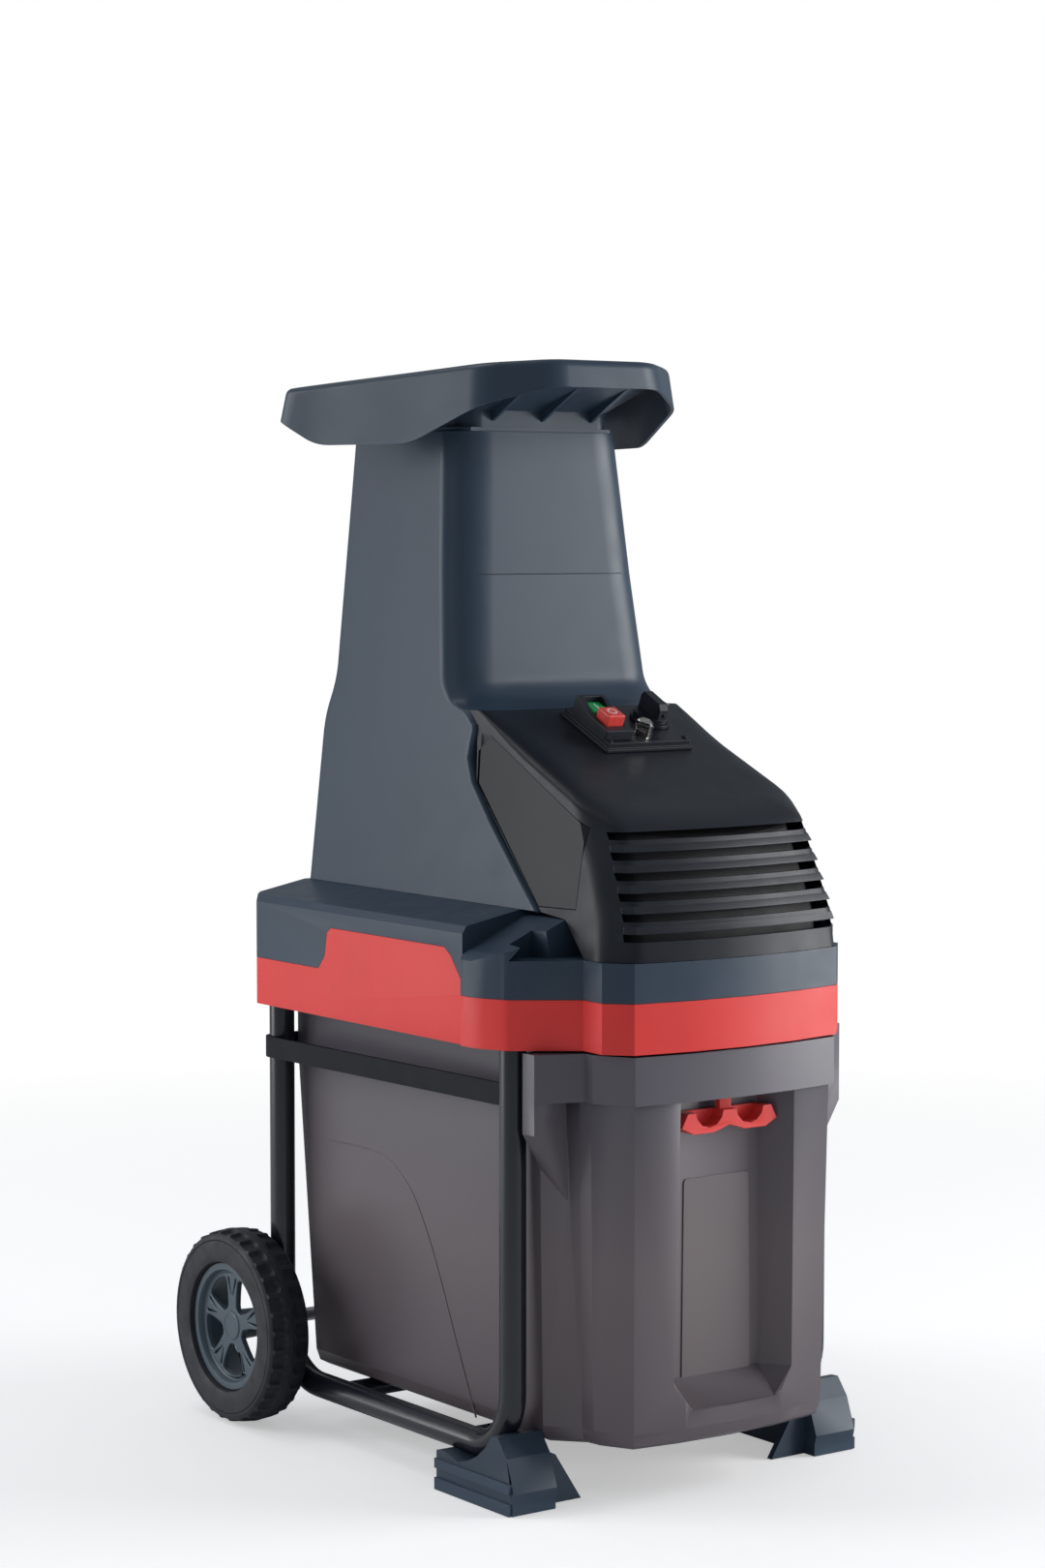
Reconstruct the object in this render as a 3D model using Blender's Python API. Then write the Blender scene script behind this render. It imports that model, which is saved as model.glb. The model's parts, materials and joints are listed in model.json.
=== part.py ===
# Garden shredder with a slow cutting roller, standing on two feet and two wheels.
# Units are metres, +Z is up, the feeding side faces -Y and the origin lies on the
# ground under the middle of the machine's bounding box.
from math import atan2, cos, hypot, pi, radians, sin, tan

import bmesh
import bpy
from mathutils import Matrix, Vector

for leftover in list(bpy.data.objects):
    bpy.data.objects.remove(leftover, do_unlink=True)

# Clearances
FIT = 0.0003
SLIDE_GAP = 0.0006
# Reach of cutting solids past the outside of the machine
BEYOND = 0.3

# Levels, each measured from the one that it rests on
RUN_HEIGHT = 0.042
DECK_SHOULDER = 0.462
DECK_TOP = DECK_SHOULDER + 0.016
BLOCK_TOP = DECK_SHOULDER - 0.017
HOOD_BOTTOM = BLOCK_TOP
TAB_TOP = DECK_SHOULDER - 0.013
BAND_BOTTOM = DECK_SHOULDER - 0.090
BAND_HEIGHT = 0.041
BAND_TOP = BAND_BOTTOM + BAND_HEIGHT
BOX_RIM_TOP = BAND_BOTTOM - 0.002
BOX_RIM_BOTTOM = BOX_RIM_TOP - 0.039
FILLET_FOOT = DECK_TOP + 0.158
FILLET_TOP = FILLET_FOOT + 0.035
RIM_REAR_HEIGHT = 0.909
RIM_FRONT_HEIGHT = RIM_REAR_HEIGHT + 0.019
TOWER_TOP = RIM_REAR_HEIGHT - 0.039
PANEL_JOINT = FILLET_TOP + (TOWER_TOP - FILLET_TOP) * 78 / 199

# Carrying frame
TUBE_DIAMETER = 0.022
TRACK_HALF = 0.158
FRONT_TUBE_Y = -0.174
REAR_TUBE_Y = 0.174
FRONT_BEND = 0.050
REAR_BEND = 0.060
CROSS_BAR_DIAMETER = 0.016
REAR_BAR_Y = 0.080
STRAP_BOTTOM = BOX_RIM_BOTTOM - 0.007
STRAP_WIDTH = 0.0187
STRAP_THICKNESS = 0.003
TUBE_RADIUS = TUBE_DIAMETER / 2

# Wheels and their axle, which runs in an eye welded behind each tube
TREAD_RADIUS = 0.0855
SHOULDER_RADIUS = 0.0805
TYRE_WIDTH = 0.0405
RIM_RADIUS = 0.0565
RIM_INNER_RADIUS = 0.0485
RIM_WIDTH = 0.030
HUB_RADIUS = 0.014
AXLE_DIAMETER = 0.012
AXLE_Y = REAR_TUBE_Y + 0.0175
WHEEL_CENTRE = (AXLE_Y, TREAD_RADIUS)
EYE_RADIUS = 0.013
EYE_HALF_WIDTH = 0.007
SPOKE_COUNT = 5
WHEEL_INNER_X = TRACK_HALF + TUBE_RADIUS + 0.0015
TREAD_LUGS = 18
LUG_DEPTH = 0.0030
GROOVE_WIDTH = 0.002

# Feet
FOOT_OUTER_X = TRACK_HALF + 0.025
FOOT_INNER_X = TRACK_HALF - 0.021
FOOT_FRONT_Y = FRONT_TUBE_Y - 0.030
FOOT_REAR_Y = FRONT_TUBE_Y + 0.077
FRONT_BAR_Y = FOOT_REAR_Y - 0.013
FOOT_TOP = 0.060
FOOT_HEEL_TOP = 0.032
FOOT_TOE_TOP = 0.018
FOOT_STEP = 0.003
FLANGE_TIP_X = FOOT_INNER_X - 0.036
FLANGE_THICKNESS = 0.006

# Lower housing: red band and dark deck
BAND_WALL = 0.003
TAB_THICKNESS = 0.003
TAB_FRONT_Y = -0.109
TAB_REAR_Y = 0.060
DECK_HALF_WIDTH = TRACK_HALF + 0.022
DECK_REAR_Y = REAR_TUBE_Y + 0.016
DECK_CORNER = 0.010
DECK_WALL = 0.008
DECK_ROOF = 0.006
BLOCK_HALF_WIDTH = DECK_HALF_WIDTH + 0.004
BLOCK_REAR_Y = FRONT_TUBE_Y + 0.036
BLOCK_BEND_Y = FRONT_TUBE_Y + 0.022
BLOCK_CORNER_RADIUS = 0.0165
BLOCK_FRONT_Y = FRONT_TUBE_Y - 0.046
NOSE_HALF_WIDTH = TRACK_HALF - 0.036
NOSE_CORNER_Y = FRONT_TUBE_Y - 0.072
NOSE_CHAMFER_X = NOSE_HALF_WIDTH - 0.017
NOSE_CHAMFER_Y = FRONT_TUBE_Y - 0.091
NOSE_FRONT_Y = FRONT_TUBE_Y - 0.103
HOOD_SEAT_REAR_Y = FRONT_TUBE_Y - 0.016
POCKET_MOUTH_Y = FRONT_TUBE_Y - 0.061
POCKET_FLOOR = [(TRACK_HALF + 0.020, POCKET_MOUTH_Y), (TRACK_HALF - 0.029, POCKET_MOUTH_Y),
                (TRACK_HALF - 0.024, FRONT_TUBE_Y + 0.008), (TRACK_HALF + 0.010, FRONT_TUBE_Y + 0.004)]
POCKET_ROOF = [(TRACK_HALF - 0.003, POCKET_MOUTH_Y), (TRACK_HALF - 0.021, POCKET_MOUTH_Y),
               (TRACK_HALF - 0.019, FRONT_TUBE_Y), (TRACK_HALF - 0.008, FRONT_TUBE_Y - 0.002)]
POCKET_DEPTH = 0.028
SOCKET_DEPTH = 0.020
SOCKET_WALL = 0.0035

# Tower
SHELL_WALL = 0.003
TOWER_HALF_BOTTOM = NOSE_HALF_WIDTH - 0.0004
TOWER_HALF_TOP = TOWER_HALF_BOTTOM - 0.0311
TOWER_REAR_Y = DECK_REAR_Y - 0.033
TOWER_BEVEL_X = 0.015
TOWER_BEVEL_Y = 0.021
TOWER_MARGIN = 0.050
REAR_JOINT_Y = 0.080
FILLET_FOOT_Y = -0.055
TOWER_FRONT = [(0.0, TOWER_TOP), (-0.0115, PANEL_JOINT), (-0.0215, FILLET_TOP),
               (-0.0235, FILLET_TOP - 0.012), (-0.0295, FILLET_TOP - 0.022),
               (-0.0390, FILLET_TOP - 0.0295), (FILLET_FOOT_Y, FILLET_FOOT)]
TOWER_REAR = [(TOWER_REAR_Y, TOWER_TOP), (TOWER_REAR_Y + 0.002, TOWER_TOP - 0.043),
              (TOWER_REAR_Y + 0.008, FILLET_TOP - 0.014), (TOWER_REAR_Y + 0.023, FILLET_FOOT - 0.014),
              (DECK_REAR_Y - 0.002, DECK_TOP)]
HOOD_LINE = [(FILLET_FOOT_Y, FILLET_FOOT), (-0.052, FILLET_FOOT - 0.016),
             (FILLET_FOOT_Y, FILLET_FOOT - 0.059), (-0.155, DECK_TOP)]
INLET_Y = -0.062
INLET_HEIGHT = DECK_TOP + 0.044
INLET_RADIUS = 0.017

# Motor hood: each row has a height and how far forward the front and side corners lie
HOOD_INSET = 0.004
HOOD_CHAMFER_X = TOWER_BEVEL_X + 0.0012
HOOD_BULGE = 0.012
HOOD_ROWS = ((HOOD_BOTTOM, -0.264, -0.239), (HOOD_BOTTOM + 0.030, -0.262, -0.236),
             (HOOD_BOTTOM + 0.061, -0.250, -0.2235), (HOOD_BOTTOM + 0.0955, -0.236, -0.207),
             (HOOD_BOTTOM + 0.215, -0.188, -0.158))
HOOD_EDGE_RADIUS = 0.024
HOOD_SEAT_HALF = NOSE_HALF_WIDTH + 0.020
SLOPE_END_Y = -0.206
SLOPE_END = FILLET_FOOT - 0.069
SLOPE = atan2(FILLET_FOOT - SLOPE_END, FILLET_FOOT_Y - SLOPE_END_Y)
WINDOW = [(-0.072, FILLET_FOOT - 0.0195), (-0.2105, FILLET_FOOT - 0.087),
          (-0.2035, FILLET_FOOT - 0.153), (-0.1530, FILLET_FOOT - 0.1545),
          (-0.0585, FILLET_FOOT - 0.0595), (-0.0575, FILLET_FOOT - 0.017)]
LOUVRE_COUNT = 6
LOUVRE_TOP = FILLET_FOOT - 0.0896
LOUVRE_REAR_Y = -0.190
LOUVRE_PITCH = 0.0158
LOUVRE_GAP = 0.006
LOUVRE_END = 0.0105

# Feed hopper
HOPPER_WALL = 0.004
RIM_FRONT_Y = -0.088
RIM_REAR_Y = TOWER_REAR_Y - 0.003
HOPPER_RIM = [(0.0, RIM_FRONT_Y), (0.052, RIM_FRONT_Y), (0.100, -0.050), (0.122, 0.022),
              (0.152, RIM_REAR_Y - 0.036), (0.165, RIM_REAR_Y), (0.158, RIM_REAR_Y + 0.006),
              (0.0, RIM_REAR_Y + 0.006)]
HOPPER_SKIRT = [(0.0, -0.092), (0.054, -0.092), (0.104, -0.052), (0.125, 0.022),
                (0.155, RIM_REAR_Y - 0.034), (0.169, RIM_REAR_Y + 0.003), (0.160, RIM_REAR_Y + 0.010),
                (0.0, RIM_REAR_Y + 0.010)]
SKIRT_DROPS = (0.004, 0.004, 0.019, 0.050, 0.050, 0.029, 0.027, 0.027)
NECK_HALF_WIDTH = TOWER_HALF_TOP - 0.0115
NECK_FRONT_Y = 0.004
NECK_REAR_Y = TOWER_REAR_Y - 0.017
NECK_BOTTOM = TOWER_TOP - 0.020
COLLAR_TOP = TOWER_TOP + 0.018
GUSSET_THICKNESS = 0.003
GUSSETS_X = (-0.050, 0.002, 0.054)

# Collecting box
BOX_BOTTOM = RUN_HEIGHT + CROSS_BAR_DIAMETER / 2 + FIT
BOX_HALF_WIDTH = TRACK_HALF - TUBE_RADIUS - 0.004
BOX_REAR_Y = REAR_TUBE_Y + 0.0095
BOX_REAR_FOOT_Y = BOX_REAR_Y - 0.0235
BOX_WALL = 0.003
BOX_TAPER = 0.005
BOX_FRONT_Y = NOSE_FRONT_Y + 0.007
BOX_CORNER = (NOSE_CHAMFER_X - 0.004, NOSE_CHAMFER_Y + 0.0045)
BOX_STEP = (NOSE_HALF_WIDTH - 0.003, NOSE_CHAMFER_Y + 0.039)
BOX_SHOULDER_Y = FRONT_TUBE_Y - 0.016
BOX_REAR_CORNER = 0.012
RECESS_BACK_Y = BOX_FRONT_Y + 0.032
RECESS_MOUTH_Y = BOX_FRONT_Y + 0.002
RECESS_FLOOR_HALF = 0.043
WING_OUTER_X = TRACK_HALF + 0.002
WING_THICKNESS = 0.016
WING_BOTTOM = BOX_RIM_BOTTOM - 0.081
LATCH_WIDTH = 0.099
LATCH_BOTTOM = BOX_RIM_BOTTOM - 0.030
LATCH_FRONT_Y = RECESS_BACK_Y - 0.0185
LATCH_TRAVEL = 0.012
SCOOP_RADIUS = 0.0145
SCOOP_DEPTH = 0.0130
TONGUE_HALF_WIDTH = 0.006
TONGUE_FRONT_Y = RECESS_BACK_Y - 0.012
TONGUE_REAR_Y = RECESS_BACK_Y - 0.006

# Control plate on the hood's slope, measured along and square to the slope
PLATE_LEFT = -0.031
PLATE_RIGHT = 0.060
PLATE_FRONT = -0.083
PLATE_REAR = -0.011
PLATE_HEIGHT = 0.008
BUTTON_SIZE = 0.017
BUTTON_X = -0.016
START_ALONG = -0.037
STOP_ALONG = -0.058
BUTTON_TRAVEL = 0.003
SELECTOR_X = 0.040
SELECTOR_ALONG = -0.043
SELECTOR_RADIUS = 0.0155
RESET_X = 0.014
RESET_ALONG = -0.068
CAP_RADIUS = 0.008
RESET_TRAVEL = 0.002

# Cutting works
ROLLER_X = -0.018
MOTOR_RADIUS = 0.048
ROLLER_HEIGHT = DECK_TOP + MOTOR_RADIUS + 0.019
ROLLER_RADIUS = 0.044
ROLLER_TEETH = 8
ROLLER_FRONT_Y = 0.022
ROLLER_LENGTH = 0.112
ROLLER_SHAFT_RADIUS = 0.008
BEARING_RADIUS = 0.016
CHAMBER_WALL = 0.012
CHAMBER_LEFT_X = -0.075
CHAMBER_RIGHT_X = 0.064
CHAMBER_SIDE_WALL = 0.008
CHAMBER_TOP = ROLLER_HEIGHT + 0.055
ROLLER_CLEARANCE = 0.0012
PLATE_GAP = 0.0028
PRESSURE_PLATE_THICKNESS = 0.010
SPINDLE_RADIUS = 0.005
SPINDLE_Y = 0.078
KNOB_RADIUS = 0.021
KNOB_LENGTH = 0.018
SPINDLE_RUNNING_GAP = 0.0004

# Gear train and motor
PINION_TEETH = 7
WHEEL_TEETH = 28
MODULE_FIRST = 0.0021
MODULE_SECOND = 0.0025
MODULE_THIRD = 0.0032
PIN_RADIUS = 0.005
ANGLE_THIRD = radians(40)
ANGLE_SECOND = radians(-60)
ANGLE_FIRST = radians(201)
GEARBOX_FRONT_Y = -0.058
GEARBOX_WALL = 0.005
GEAR_ROOM = 0.0035
MOTOR_LENGTH = 0.100
MOTOR_WALL = 0.003
MOTOR_SHAFT_RADIUS = 0.005
FAN_RADIUS = 0.036
MOTOR_SIDES = 20
FAN_BLADES = 6
CAPACITOR_RADIUS = 0.018
CAPACITOR_LENGTH = 0.070
CAPACITOR_X = -0.078
CAPACITOR_FRONT_Y = -0.150
HALF_PITCH = pi / PINION_TEETH
MOTOR_DOOR_RADIUS = MODULE_FIRST * (PINION_TEETH / 2 + 1) + 0.002
CHAMBER_FRONT_Y = ROLLER_FRONT_Y - 2 * FIT - CHAMBER_WALL
CHAMBER_REAR_Y = ROLLER_FRONT_Y + ROLLER_LENGTH + 2 * FIT + CHAMBER_WALL
GEARBOX_REAR_Y = CHAMBER_FRONT_Y - FIT
COVER_BACK_Y = GEARBOX_FRONT_Y + GEARBOX_WALL
FIRST_PLANE = (COVER_BACK_Y + 0.002, COVER_BACK_Y + 0.012)
SECOND_PLANE = (FIRST_PLANE[1] + 0.003, FIRST_PLANE[1] + 0.016)
THIRD_PLANE = (SECOND_PLANE[1] + 0.003, GEARBOX_REAR_Y - GEARBOX_WALL - 0.002)
MOTOR_REAR_Y = GEARBOX_FRONT_Y - FIT
MOTOR_FRONT_Y = MOTOR_REAR_Y - MOTOR_LENGTH

# Looks: colour, roughness and metallic value
HOUSING_GREY = ((0.042, 0.058, 0.072), 0.42, 0.0)
BAND_RED = ((0.62, 0.055, 0.045), 0.38, 0.0)
HOOD_BLACK = ((0.012, 0.014, 0.018), 0.48, 0.0)
SMOKE = ((0.13, 0.115, 0.112), 0.25, 0.0)
TUBE_BLACK = ((0.010, 0.012, 0.016), 0.18, 0.1)
RUBBER = ((0.020, 0.021, 0.024), 0.70, 0.0)
RIM_GREY = ((0.075, 0.105, 0.125), 0.40, 0.0)
BUTTON_GREEN = ((0.01, 0.32, 0.09), 0.30, 0.0)
BUTTON_RED = ((0.70, 0.05, 0.045), 0.30, 0.0)
CLEAR = ((0.75, 0.74, 0.70), 0.08, 0.0)
STEEL = ((0.45, 0.45, 0.46), 0.35, 1.0)
ALUMINIUM = ((0.60, 0.61, 0.62), 0.45, 1.0)
COPPER_IRON = ((0.30, 0.17, 0.10), 0.50, 0.8)


def at(axis, along, a, b):
    """A point from its place along an axis and its two other coordinates in order."""
    return {"X": (along, a, b), "Y": (a, along, b), "Z": (a, b, along)}[axis]


def add_object(name, shape):
    """Store a bmesh as a new object with its faces pointing out."""
    bmesh.ops.recalc_face_normals(shape, faces=shape.faces)
    mesh = bpy.data.meshes.new(name)
    shape.to_mesh(mesh)
    shape.free()
    piece = bpy.data.objects.new(name, mesh)
    bpy.context.scene.collection.objects.link(piece)
    return piece


def loft(name, loops):
    """A closed skin through loops that have the same number of points."""
    shape = bmesh.new()
    rings = [[shape.verts.new(point) for point in loop] for loop in loops]
    count = len(rings[0])
    for lower, upper in zip(rings, rings[1:]):
        for i in range(count):
            j = (i + 1) % count
            shape.faces.new((lower[i], lower[j], upper[j], upper[i]))
    shape.faces.new(rings[0])
    shape.faces.new(rings[-1])
    return add_object(name, shape)


def prism(name, outline, start, end, axis="Z"):
    """An outline extruded between two places along an axis."""
    return loft(name, [[at(axis, s, a, b) for a, b in outline] for s in (start, end)])


def block(name, low, high):
    """A rectangular solid between two corners."""
    outline = [(low[0], low[1]), (high[0], low[1]), (high[0], high[1]), (low[0], high[1])]
    return prism(name, outline, low[2], high[2])


def circle(a, b, radius, sides, start=0.0, sweep=2 * pi):
    """Points of a full circle, or of an arc with both its ends."""
    full = abs(sweep - 2 * pi) < 1e-9
    steps = sides if full else sides - 1
    angles = [start + sweep * i / steps for i in range(sides)]
    return [(a + radius * cos(t), b + radius * sin(t)) for t in angles]


def rod(name, axis, centre, radius, start, end, sides=16):
    """A round bar along an axis."""
    return prism(name, circle(centre[0], centre[1], radius, sides), start, end, axis)


def turned(name, axis, centre, profile, sides):
    """A ring turned round an axis from a closed profile of (radius, along) points."""
    shape = bmesh.new()
    rings = []
    for i in range(sides):
        t = 2 * pi * i / sides
        points = [(centre[0] + r * cos(t), centre[1] + r * sin(t), s) for r, s in profile]
        rings.append([shape.verts.new(at(axis, s, a, b)) for a, b, s in points])
    count = len(profile)
    for i in range(sides):
        here, there = rings[i], rings[(i + 1) % sides]
        for k in range(count):
            m = (k + 1) % count
            shape.faces.new((here[k], here[m], there[m], there[k]))
    return add_object(name, shape)


def combine(target, tools, operation="DIFFERENCE", solver="EXACT"):
    """Join, cut or intersect a piece with others, and keep only the result."""
    for tool in tools:
        tool.hide_render = True
        tool.display_type = "WIRE"
        step = target.modifiers.new(operation.lower(), "BOOLEAN")
        step.operation = operation
        step.solver = solver
        step.object = tool
    bpy.context.view_layer.update()
    graph = bpy.context.evaluated_depsgraph_get()
    mesh = bpy.data.meshes.new_from_object(target.evaluated_get(graph))
    target.modifiers.clear()
    target.data = mesh
    for tool in tools:
        bpy.data.objects.remove(tool, do_unlink=True)
    return target


def cut(target, *tools):
    return combine(target, tools, "DIFFERENCE")


def join(target, *tools):
    return combine(target, tools, "UNION")


def keep_inside(target, *tools):
    return combine(target, tools, "INTERSECT")


def copy_of(piece, name):
    """A second object with its own copy of the mesh."""
    twin = piece.copy()
    twin.data = piece.data.copy()
    twin.name = name
    bpy.context.scene.collection.objects.link(twin)
    return twin


def mirrored(piece, name):
    """The same piece on the other side of the machine's middle plane."""
    twin = copy_of(piece, name)
    shape = bmesh.new()
    shape.from_mesh(twin.data)
    bmesh.ops.scale(shape, vec=(-1, 1, 1), verts=shape.verts)
    bmesh.ops.reverse_faces(shape, faces=shape.faces)
    shape.to_mesh(twin.data)
    shape.free()
    return twin


def round_edges(piece, wanted, width, segments):
    """Bevel the edges whose two ends satisfy a test."""
    shape = bmesh.new()
    shape.from_mesh(piece.data)
    picked = [e for e in shape.edges if wanted(e.verts[0].co, e.verts[1].co)]
    bmesh.ops.bevel(shape, geom=picked, offset=width, segments=segments, profile=0.5,
                    affect="EDGES", clamp_overlap=True)
    bmesh.ops.recalc_face_normals(shape, faces=shape.faces)
    shape.to_mesh(piece.data)
    shape.free()
    return piece


def finish(piece, name, look, centre=None, smooth=32):
    """Name a piece, give it its own material and put its origin on a chosen point."""
    piece.name = name
    piece.data.name = name
    colour, roughness, metallic = look
    paint = bpy.data.materials.new(name + "_finish")
    paint.use_nodes = True
    shader = paint.node_tree.nodes["Principled BSDF"]
    shader.inputs["Base Color"].default_value = (*colour, 1.0)
    shader.inputs["Roughness"].default_value = roughness
    shader.inputs["Metallic"].default_value = metallic
    paint.diffuse_color = (*colour, 1.0)
    piece.data.materials.clear()
    piece.data.materials.append(paint)
    if centre is not None:
        piece.data.transform(Matrix.Translation(-Vector(centre)))
        piece.location = piece.location + Vector(centre)
    if smooth:
        piece.data.shade_smooth()
        piece.data.set_sharp_from_angle(angle=radians(smooth))
    return piece


def inset(points, distance):
    """Move every side of a closed outline inwards by a distance, with mitred corners."""
    area = sum(p[0] * q[1] - q[0] * p[1] for p, q in zip(points, points[1:] + points[:1]))
    turn = 1 if area > 0 else -1
    moved = []
    for i, here in enumerate(points):
        before = points[i - 1]
        after = points[(i + 1) % len(points)]
        first = Vector((here[0] - before[0], here[1] - before[1])).normalized()
        second = Vector((after[0] - here[0], after[1] - here[1])).normalized()
        normal_first = Vector((-first.y, first.x)) * turn
        normal_second = Vector((-second.y, second.x)) * turn
        middle = normal_first + normal_second
        scale = 2 * distance / middle.length_squared
        moved.append((here[0] + middle.x * scale, here[1] + middle.y * scale))
    return moved


def both_sides(half):
    """A closed outline from its right half, which starts and ends on the middle plane."""
    left = [(-x, y) for x, y in reversed(half) if abs(x) > 1e-9]
    return list(half) + left


def straight(p, q, t):
    """The value at t on the line through two (t, value) points."""
    return p[1] + (q[1] - p[1]) * (t - p[0]) / (q[0] - p[0])


# Carrying frame


def bent_tube_path():
    """Centre line of one frame tube in its upright plane, as (y, z) points."""
    arc_steps = 6
    top = BAND_TOP + SOCKET_DEPTH
    front = circle(FRONT_TUBE_Y + FRONT_BEND, RUN_HEIGHT + FRONT_BEND, FRONT_BEND,
                   arc_steps, pi, pi / 2)
    rear = circle(REAR_TUBE_Y - REAR_BEND, RUN_HEIGHT + REAR_BEND, REAR_BEND,
                  arc_steps, 3 * pi / 2, pi / 2)
    return [(FRONT_TUBE_Y, top)] + front + rear + [(REAR_TUBE_Y, top)]


def swept_tube(name, x, radius, sides=10):
    """A round bar swept along the frame tube's centre line."""
    path = bent_tube_path()
    loops = []
    for i, here in enumerate(path):
        before = path[max(i - 1, 0)]
        after = path[min(i + 1, len(path) - 1)]
        angle = atan2(after[1] - before[1], after[0] - before[0])
        loop = []
        for a, b in circle(0, 0, radius, sides, pi / sides):
            loop.append((x + a, here[0] - b * sin(angle), here[1] + b * cos(angle)))
        loops.append(loop)
    return loft(name, loops)


def make_frame_tubes():
    reach = TRACK_HALF + 0.03
    for side, word in ((-1, "left"), (1, "right")):
        tube = swept_tube("tube", side * TRACK_HALF, TUBE_RADIUS)
        x = side * TRACK_HALF
        join(tube, rod("eye", "X", WHEEL_CENTRE, EYE_RADIUS, x - EYE_HALF_WIDTH, x + EYE_HALF_WIDTH, 12))
        cut(tube, rod("hole", "X", WHEEL_CENTRE, AXLE_DIAMETER / 2 + 2 * FIT, -reach, reach, 12))
        finish(tube, "frame_tube_" + word, TUBE_BLACK)


def make_cross_bars():
    """Two bars below the box, whose ends meet the insides of the tubes."""
    end = TRACK_HALF - TUBE_RADIUS - FIT
    for y, word in ((FRONT_BAR_Y, "front"), (REAR_BAR_Y, "rear")):
        bar = rod("bar", "X", (y, RUN_HEIGHT), CROSS_BAR_DIAMETER / 2, -end, end, 12)
        finish(bar, "cross_bar_" + word, TUBE_BLACK)


def make_strap():
    """Flat strap outside the rear uprights whose ends lie behind the front uprights."""
    inner = TUBE_RADIUS + FIT
    outer = inner + STRAP_THICKNESS
    front_y = FRONT_TUBE_Y + TUBE_RADIUS + FIT
    end_x = TRACK_HALF
    inside = circle(TRACK_HALF, REAR_TUBE_Y, inner, 6, 0, pi / 2)
    outside = circle(TRACK_HALF, REAR_TUBE_Y, outer, 6, 0, pi / 2)
    right_inner = [(end_x, front_y)] + inside
    right_outer = [(end_x + STRAP_THICKNESS, front_y)] + outside
    outline = right_outer + [(-x, y) for x, y in reversed(right_outer)]
    outline += [(-x, y) for x, y in right_inner] + list(reversed(right_inner))
    strap = prism("strap", outline, STRAP_BOTTOM, STRAP_BOTTOM + STRAP_WIDTH)
    finish(strap, "box_strap", TUBE_BLACK)


def make_feet():
    """Moulded shoe round the front bend of each tube, with a flange towards the middle."""
    step = FOOT_STEP
    saddle = circle(FRONT_TUBE_Y + FRONT_BEND + 0.006, RUN_HEIGHT + FRONT_BEND + 0.004,
                    FRONT_BEND + 0.018, 6, radians(262), -radians(62))
    side = [(FOOT_REAR_Y, 0), (FOOT_REAR_Y, FOOT_HEEL_TOP)]
    side.append((FOOT_REAR_Y - 0.010, FOOT_HEEL_TOP + 0.0015))
    side += [p for p in saddle if p[0] < FOOT_REAR_Y - 0.014 and p[1] < FOOT_TOP]
    side += [(FRONT_TUBE_Y - 0.010, FOOT_TOP), (FRONT_TUBE_Y - 0.022, FOOT_TOP - 0.015)]
    side += [(FOOT_FRONT_Y - 0.002, FOOT_TOE_TOP), (FOOT_FRONT_Y, FOOT_TOE_TOP - 0.008)]
    side.append((FOOT_FRONT_Y, 0))
    foot = prism("foot", side, FOOT_INNER_X, FOOT_OUTER_X - step, "X")
    for low, high in ((0.0, FOOT_TOE_TOP - 0.008), (FOOT_TOE_TOP, FOOT_TOE_TOP + 0.008)):
        lower = [(FOOT_REAR_Y - 0.001, low), (FOOT_FRONT_Y + 0.001, low)]
        upper = [(FOOT_FRONT_Y + 0.001, high), (FOOT_REAR_Y - 0.001, high)]
        join(foot, prism("ledge", lower + upper, FOOT_OUTER_X - 2 * step, FOOT_OUTER_X, "X"))
    flange_y = FOOT_FRONT_Y + 0.014
    flange_top = BOX_BOTTOM - 0.0043
    flange = [(FLANGE_TIP_X, 0), (FOOT_INNER_X + step, 0), (FOOT_INNER_X + step, flange_top),
              (FOOT_INNER_X - 0.010, flange_top - 0.006)]
    join(foot, prism("flange", flange, flange_y, flange_y + FLANGE_THICKNESS, "Y"))
    cut(foot, swept_tube("channel", TRACK_HALF, TUBE_RADIUS + FIT))
    finish(foot, "foot_right", HOUSING_GREY)
    finish(mirrored(foot, "twin"), "foot_left", HOUSING_GREY)


# Wheels


def tread_profile(radius, phase):
    """Lugged outline of one half of the tread."""
    pitch = 2 * pi / TREAD_LUGS
    outline = []
    for i in range(TREAD_LUGS):
        for share, deep in ((0.10, False), (0.66, False), (0.88, True)):
            t = pitch * (i + share + phase)
            r = radius - (LUG_DEPTH if deep else 0.0)
            outline.append((AXLE_Y + r * cos(t), TREAD_RADIUS + r * sin(t)))
    return outline


def make_tyre(side, word):
    """Tyre with two rows of staggered lugs and a groove between them."""
    near = WHEEL_INNER_X
    far = WHEEL_INNER_X + TYRE_WIDTH
    middle = (near + far) / 2
    groove = GROOVE_WIDTH / 2
    hub = WHEEL_CENTRE
    soft = 0.003
    core = [(RIM_RADIUS + FIT, near + soft), (RIM_RADIUS + FIT, far - soft),
            (RIM_RADIUS + 2 * soft, far), (SHOULDER_RADIUS - soft, far),
            (SHOULDER_RADIUS, far - soft), (SHOULDER_RADIUS, near + soft),
            (SHOULDER_RADIUS - soft, near), (RIM_RADIUS + 2 * soft, near)]
    tyre = turned("tyre", "X", hub, core, 32)
    rows = ((near + soft, middle - groove, 0.0), (middle + groove, far - soft, 0.5))
    for start, end, phase in rows:
        row = prism("row", tread_profile(TREAD_RADIUS, phase), start, end, "X")
        cut(row, rod("core", "X", hub, SHOULDER_RADIUS - 0.004, start - 0.01, end + 0.01, 24))
        join(tyre, row)
    if side < 0:
        flipped = mirrored(tyre, "flipped")
        bpy.data.objects.remove(tyre, do_unlink=True)
        tyre = flipped
    centre = (side * middle, *WHEEL_CENTRE)
    finish(tyre, "tyre_" + word, RUBBER, centre)


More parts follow.
